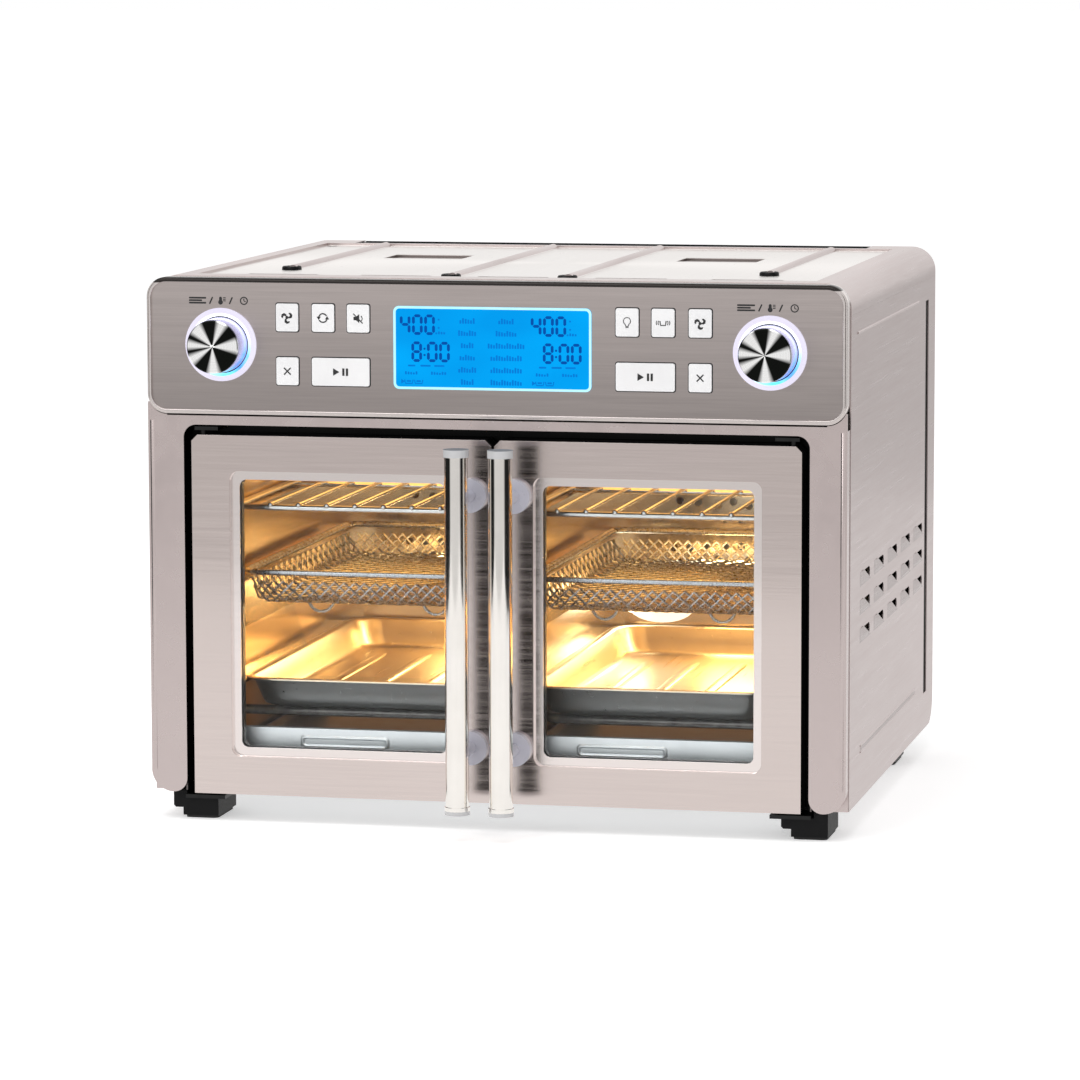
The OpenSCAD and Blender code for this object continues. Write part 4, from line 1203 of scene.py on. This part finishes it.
def side_seams():
    """Painted shade: a darker strip for the shaded hollow between the two pressed lines low on each
    side.
    """
    wall = edges("outer_wrap")[1] - ROD_PROUD
    section = ((-0.2, -1.3), (0.12, -1.1), (0.12, 1.1), (-0.2, 1.3))
    for side, sign in SIDES.items():
        s = Shape()
        s.loft([[at(sign * (wall + up), y, 36.25 + dz) for up, dz in section] for y in (63, 335)])
        s.build(side + "_side_seams", LOUVRE, "oven", "casing_steel")


RIB_X = (42, 175)
RIB_FRONT_Y = (57, 119)

# Radius and height over the panel of the rings of a plug
PLUG_SECTION = ((7.0, -0.25), (6.9, 1.7), (6.3, 2.5), (5.4, 2.2), (1.0, 1.8))


def top_shade_plugs():
    """Dark dished plugs at the front end of each rib in the top; their black is painted shade for
    the holes and recess ends there.
    """
    top = edges("outer_wrap")[5] - RECESS_DEPTH
    s = Shape()
    for x, y in zip(RIB_X, RIB_FRONT_Y):
        for cx in (-x, x):
            s.loft([
                [at(cx + r * c, y - 3 + 1.3 * r * d, top + rise) for c, d in circle(24)]
                for r, rise in PLUG_SECTION
            ])
    s.build("top_shade_plugs", MATERIALS["black_plastic"], "oven", "black_plastic")


LID_X, LID_Y0, LID_Z, LID_LIP = 200.4, 402.6, 351.2, 366.6
LID_RIBS = 24


def rear_lid():
    """Black ribbed lid of the rear cover, in the notch at the back of the top."""
    back = edges("outer_wrap")[3] - 0.4
    low, inner = LID_Z - 8, back - 1.4
    section = (
        (LID_Y0, low), (back, low), (back, LID_LIP),
        (inner, LID_LIP), (inner, LID_Z), (LID_Y0, LID_Z),
    )
    s = Shape()
    s.loft([[at(x, y, z) for y, z in section] for x in (-LID_X, LID_X)])
    for i in range(LID_RIBS):
        x = -LID_X + 16 + i * (2 * LID_X - 32) / (LID_RIBS - 1)
        run = ((LID_Y0 + 3, 0.0), (LID_Y0 + 5, 0.5), (back - 6, 0.5), (back - 4, 0.0))
        s.loft([
            [
                at(x + dx, y, LID_Z + up)
                for dx, up in ((-2.5, -0.1), (2.5, -0.1), (1.8, rise), (-1.8, rise))
            ]
            for y, rise in run
        ])
    s.build("rear_lid", MATERIALS["black_plastic"], "oven", "black_plastic")


def soften(node, width, angle=50):
    """Rounds the sharp edges of a CAD node a little, so that they catch the light."""
    o = NODES[node]
    join = o.modifiers.new("weld", "WELD")
    join.merge_threshold = 0.00001
    edge = o.modifiers.new("bevel", "BEVEL")
    edge.width, edge.segments = width / 1000, 2
    edge.limit_method, edge.angle_limit = "ANGLE", math.radians(angle)
    edge.harden_normals = True


# ---------------------------------------------------------------- stage


def plate(name, x0, x1, y0, y1, z):
    mesh = bpy.data.meshes.new(name)
    mesh.from_pydata([(x0, y0, z), (x1, y0, z), (x1, y1, z), (x0, y1, z)], [], [(0, 1, 2, 3)])
    o = bpy.data.objects.new(name, mesh)
    bpy.context.scene.collection.objects.link(o)
    return o


def faint_glow(name, strength, base, light):
    """A dull surface with its own glow; base and light are pairs of colours."""
    p = Paint(name, Roughness=0.8, Emission_Strength=strength)
    p.feed("Base Color", p.blend(p.noise(3), *base))
    p.feed("Emission Color", p.blend(p.noise(2, 2.0), *light))
    return p.mat


def floor():
    """Pale floor; polished parts mirror the bright table top below instead."""
    o = plate("floor", -40, 40, -40, 40, 0.0)
    pale, white = ((0.93, 0.93, 0.93), (0.95, 0.95, 0.95)), ((1, 1, 1), (0.97, 0.97, 0.97))
    o.data.materials.append(faint_glow("pale_floor", 0.45, pale, white))
    o.visible_glossy = False


def table():
    """Bright table top of limited size, only seen as a reflection, with the dim room beyond it."""
    o = plate("table_top", -1.2, 1.2, -1.5, 2.0, -0.001)
    dark, white = ((0.02, 0.02, 0.02), (0.03, 0.03, 0.03)), ((1, 0.99, 0.98), (0.96, 0.95, 0.94))
    o.data.materials.append(faint_glow("table_white", 0.92, dark, white))
    for ray in ("camera", "diffuse", "transmission", "shadow", "volume_scatter"):
        setattr(o, "visible_" + ray, False)


# Brightness of the studio walls by compass degrees from the front towards the right
WALLS = (
    (-52, 0.02), (-40, 0.92), (46, 0.88), (60, 0.02),
    (112, 0.02), (132, 1.0), (228, 1.0), (250, 0.02),
)
REAR_LEFT, BELOW_TABLE, DAYLIGHT = 0.02, 0.74, 0.62


def world():
    """White studio whose polished reflections see a bright front and back between dim sides."""
    w = bpy.data.worlds.new("studio")
    bpy.context.scene.world = w
    w.use_nodes = True
    n = Nodes(w.node_tree)
    way = n.node("ShaderNodeTexCoord").outputs["Generated"]
    turn = n.node("ShaderNodeTexGradient", {"Vector": way}, gradient_type="RADIAL").outputs["Fac"]
    height = n.node("ShaderNodeSeparateXYZ", {0: way}).outputs[2]
    stops = [(degrees / 360 + 0.25, (k, k * 0.99, k * 0.98)) for degrees, k in WALLS]
    walls = n.ramp(turn, (REAR_LEFT, REAR_LEFT, REAR_LEFT), stops)
    low = n.spread(height, BELOW_TABLE, 1.0, -0.06, 0.04)
    dim = n.node("ShaderNodeVectorMath", {0: walls, "Scale": low}, operation="SCALE").outputs[0]
    room = n.mix(n.spread(height, 0.0, 1.0, 0.45, 0.8), dim, (0.9, 0.9, 0.9))
    path = n.node("ShaderNodeLightPath").outputs
    pick = n.mix(path["Is Glossy Ray"], (DAYLIGHT, DAYLIGHT, DAYLIGHT), room)
    seen = n.mix(path["Is Camera Ray"], pick, (1, 1, 1))
    n.put(w.node_tree.nodes["Background"].inputs["Color"], seen)


def lamp(name, where, to, size, power, colour=(1, 1, 1)):
    data = bpy.data.lights.new(name, "AREA")
    data.shape = "RECTANGLE"
    data.size, data.size_y = size
    data.energy = power
    data.color = colour
    o = bpy.data.objects.new(name, data)
    bpy.context.scene.collection.objects.link(o)
    o.location = where
    o.rotation_euler = (Vector(to) - Vector(where)).to_track_quat("-Z", "Y").to_euler()
    return o


WARM, AMBER, EMBER = (1.0, 0.50, 0.12), (1.0, 0.64, 0.25), (1.0, 0.42, 0.12)


def lights():
    lamp("softbox_top", (-0.3, -0.5, 2.6), (0, 0, 0.2), (2.2, 1.8), 26)
    lamp("softbox_front", (-1.2, -2.8, 1.7), (0, 0, 0.2), (1.4, 1.2), 12)
    for side, s in SIDES.items():
        mid = s * 104
        glow = (
            ("ceiling", (mid, 190, 243), (mid, 190, 0), (0.16, 0.24), 0.31, WARM),
            ("lamp", (mid + 6, 360, 116), (mid, 120, 50), (0.055, 0.03), 0.25, AMBER),
            ("underglow", (mid, 200, 52), (mid, 150, 0), (0.15, 0.2), 0.012, EMBER),
        )
        for name, where, to, size, power, tint in glow:
            o = lamp(side + "_" + name, at(*where), at(*to), size, power, tint)
            o.visible_camera = False


AZIMUTH, ELEVATION, ROLL = (math.radians(a) for a in (12.34, 6.89, -0.125))
LENS, DISTANCE = 165.46, 3.4555


def camera():
    """Long lens from the right and a little above."""
    flat = math.cos(ELEVATION)
    back = Vector((math.sin(AZIMUTH) * flat, -math.cos(AZIMUTH) * flat, math.sin(ELEVATION)))
    data = bpy.data.cameras.new("camera")
    data.lens = LENS
    data.sensor_width = 36
    data.clip_end = 100
    o = bpy.data.objects.new("camera", data)
    bpy.context.scene.collection.objects.link(o)
    o.location = at(33.68, 0, 186.59) + back * DISTANCE
    o.rotation_euler = back.to_track_quat("Z", "Y").to_euler()
    o.rotation_euler.rotate_axis("Z", ROLL)
    bpy.context.scene.camera = o


camera()
world()
floor()
table()
lights()
paint_nodes()
display_pieces()
button_pieces()
button_gap_shades()
label_pieces()
knob_glow_pieces()
louvre_pieces()
side_seams()
painted_glow_plates()
top_shade_plugs()
rear_lid()
soften("front_frame", 0.7)
soften("panel_rim", 0.35)
for name in SIDES:
    soften(name + "_door_skin", 0.8)
    basket_piece(name)
    pan_piece(name)
    rack_piece(name)
    tray_piece(name)

bpy.context.scene.view_settings.view_transform = "Standard"
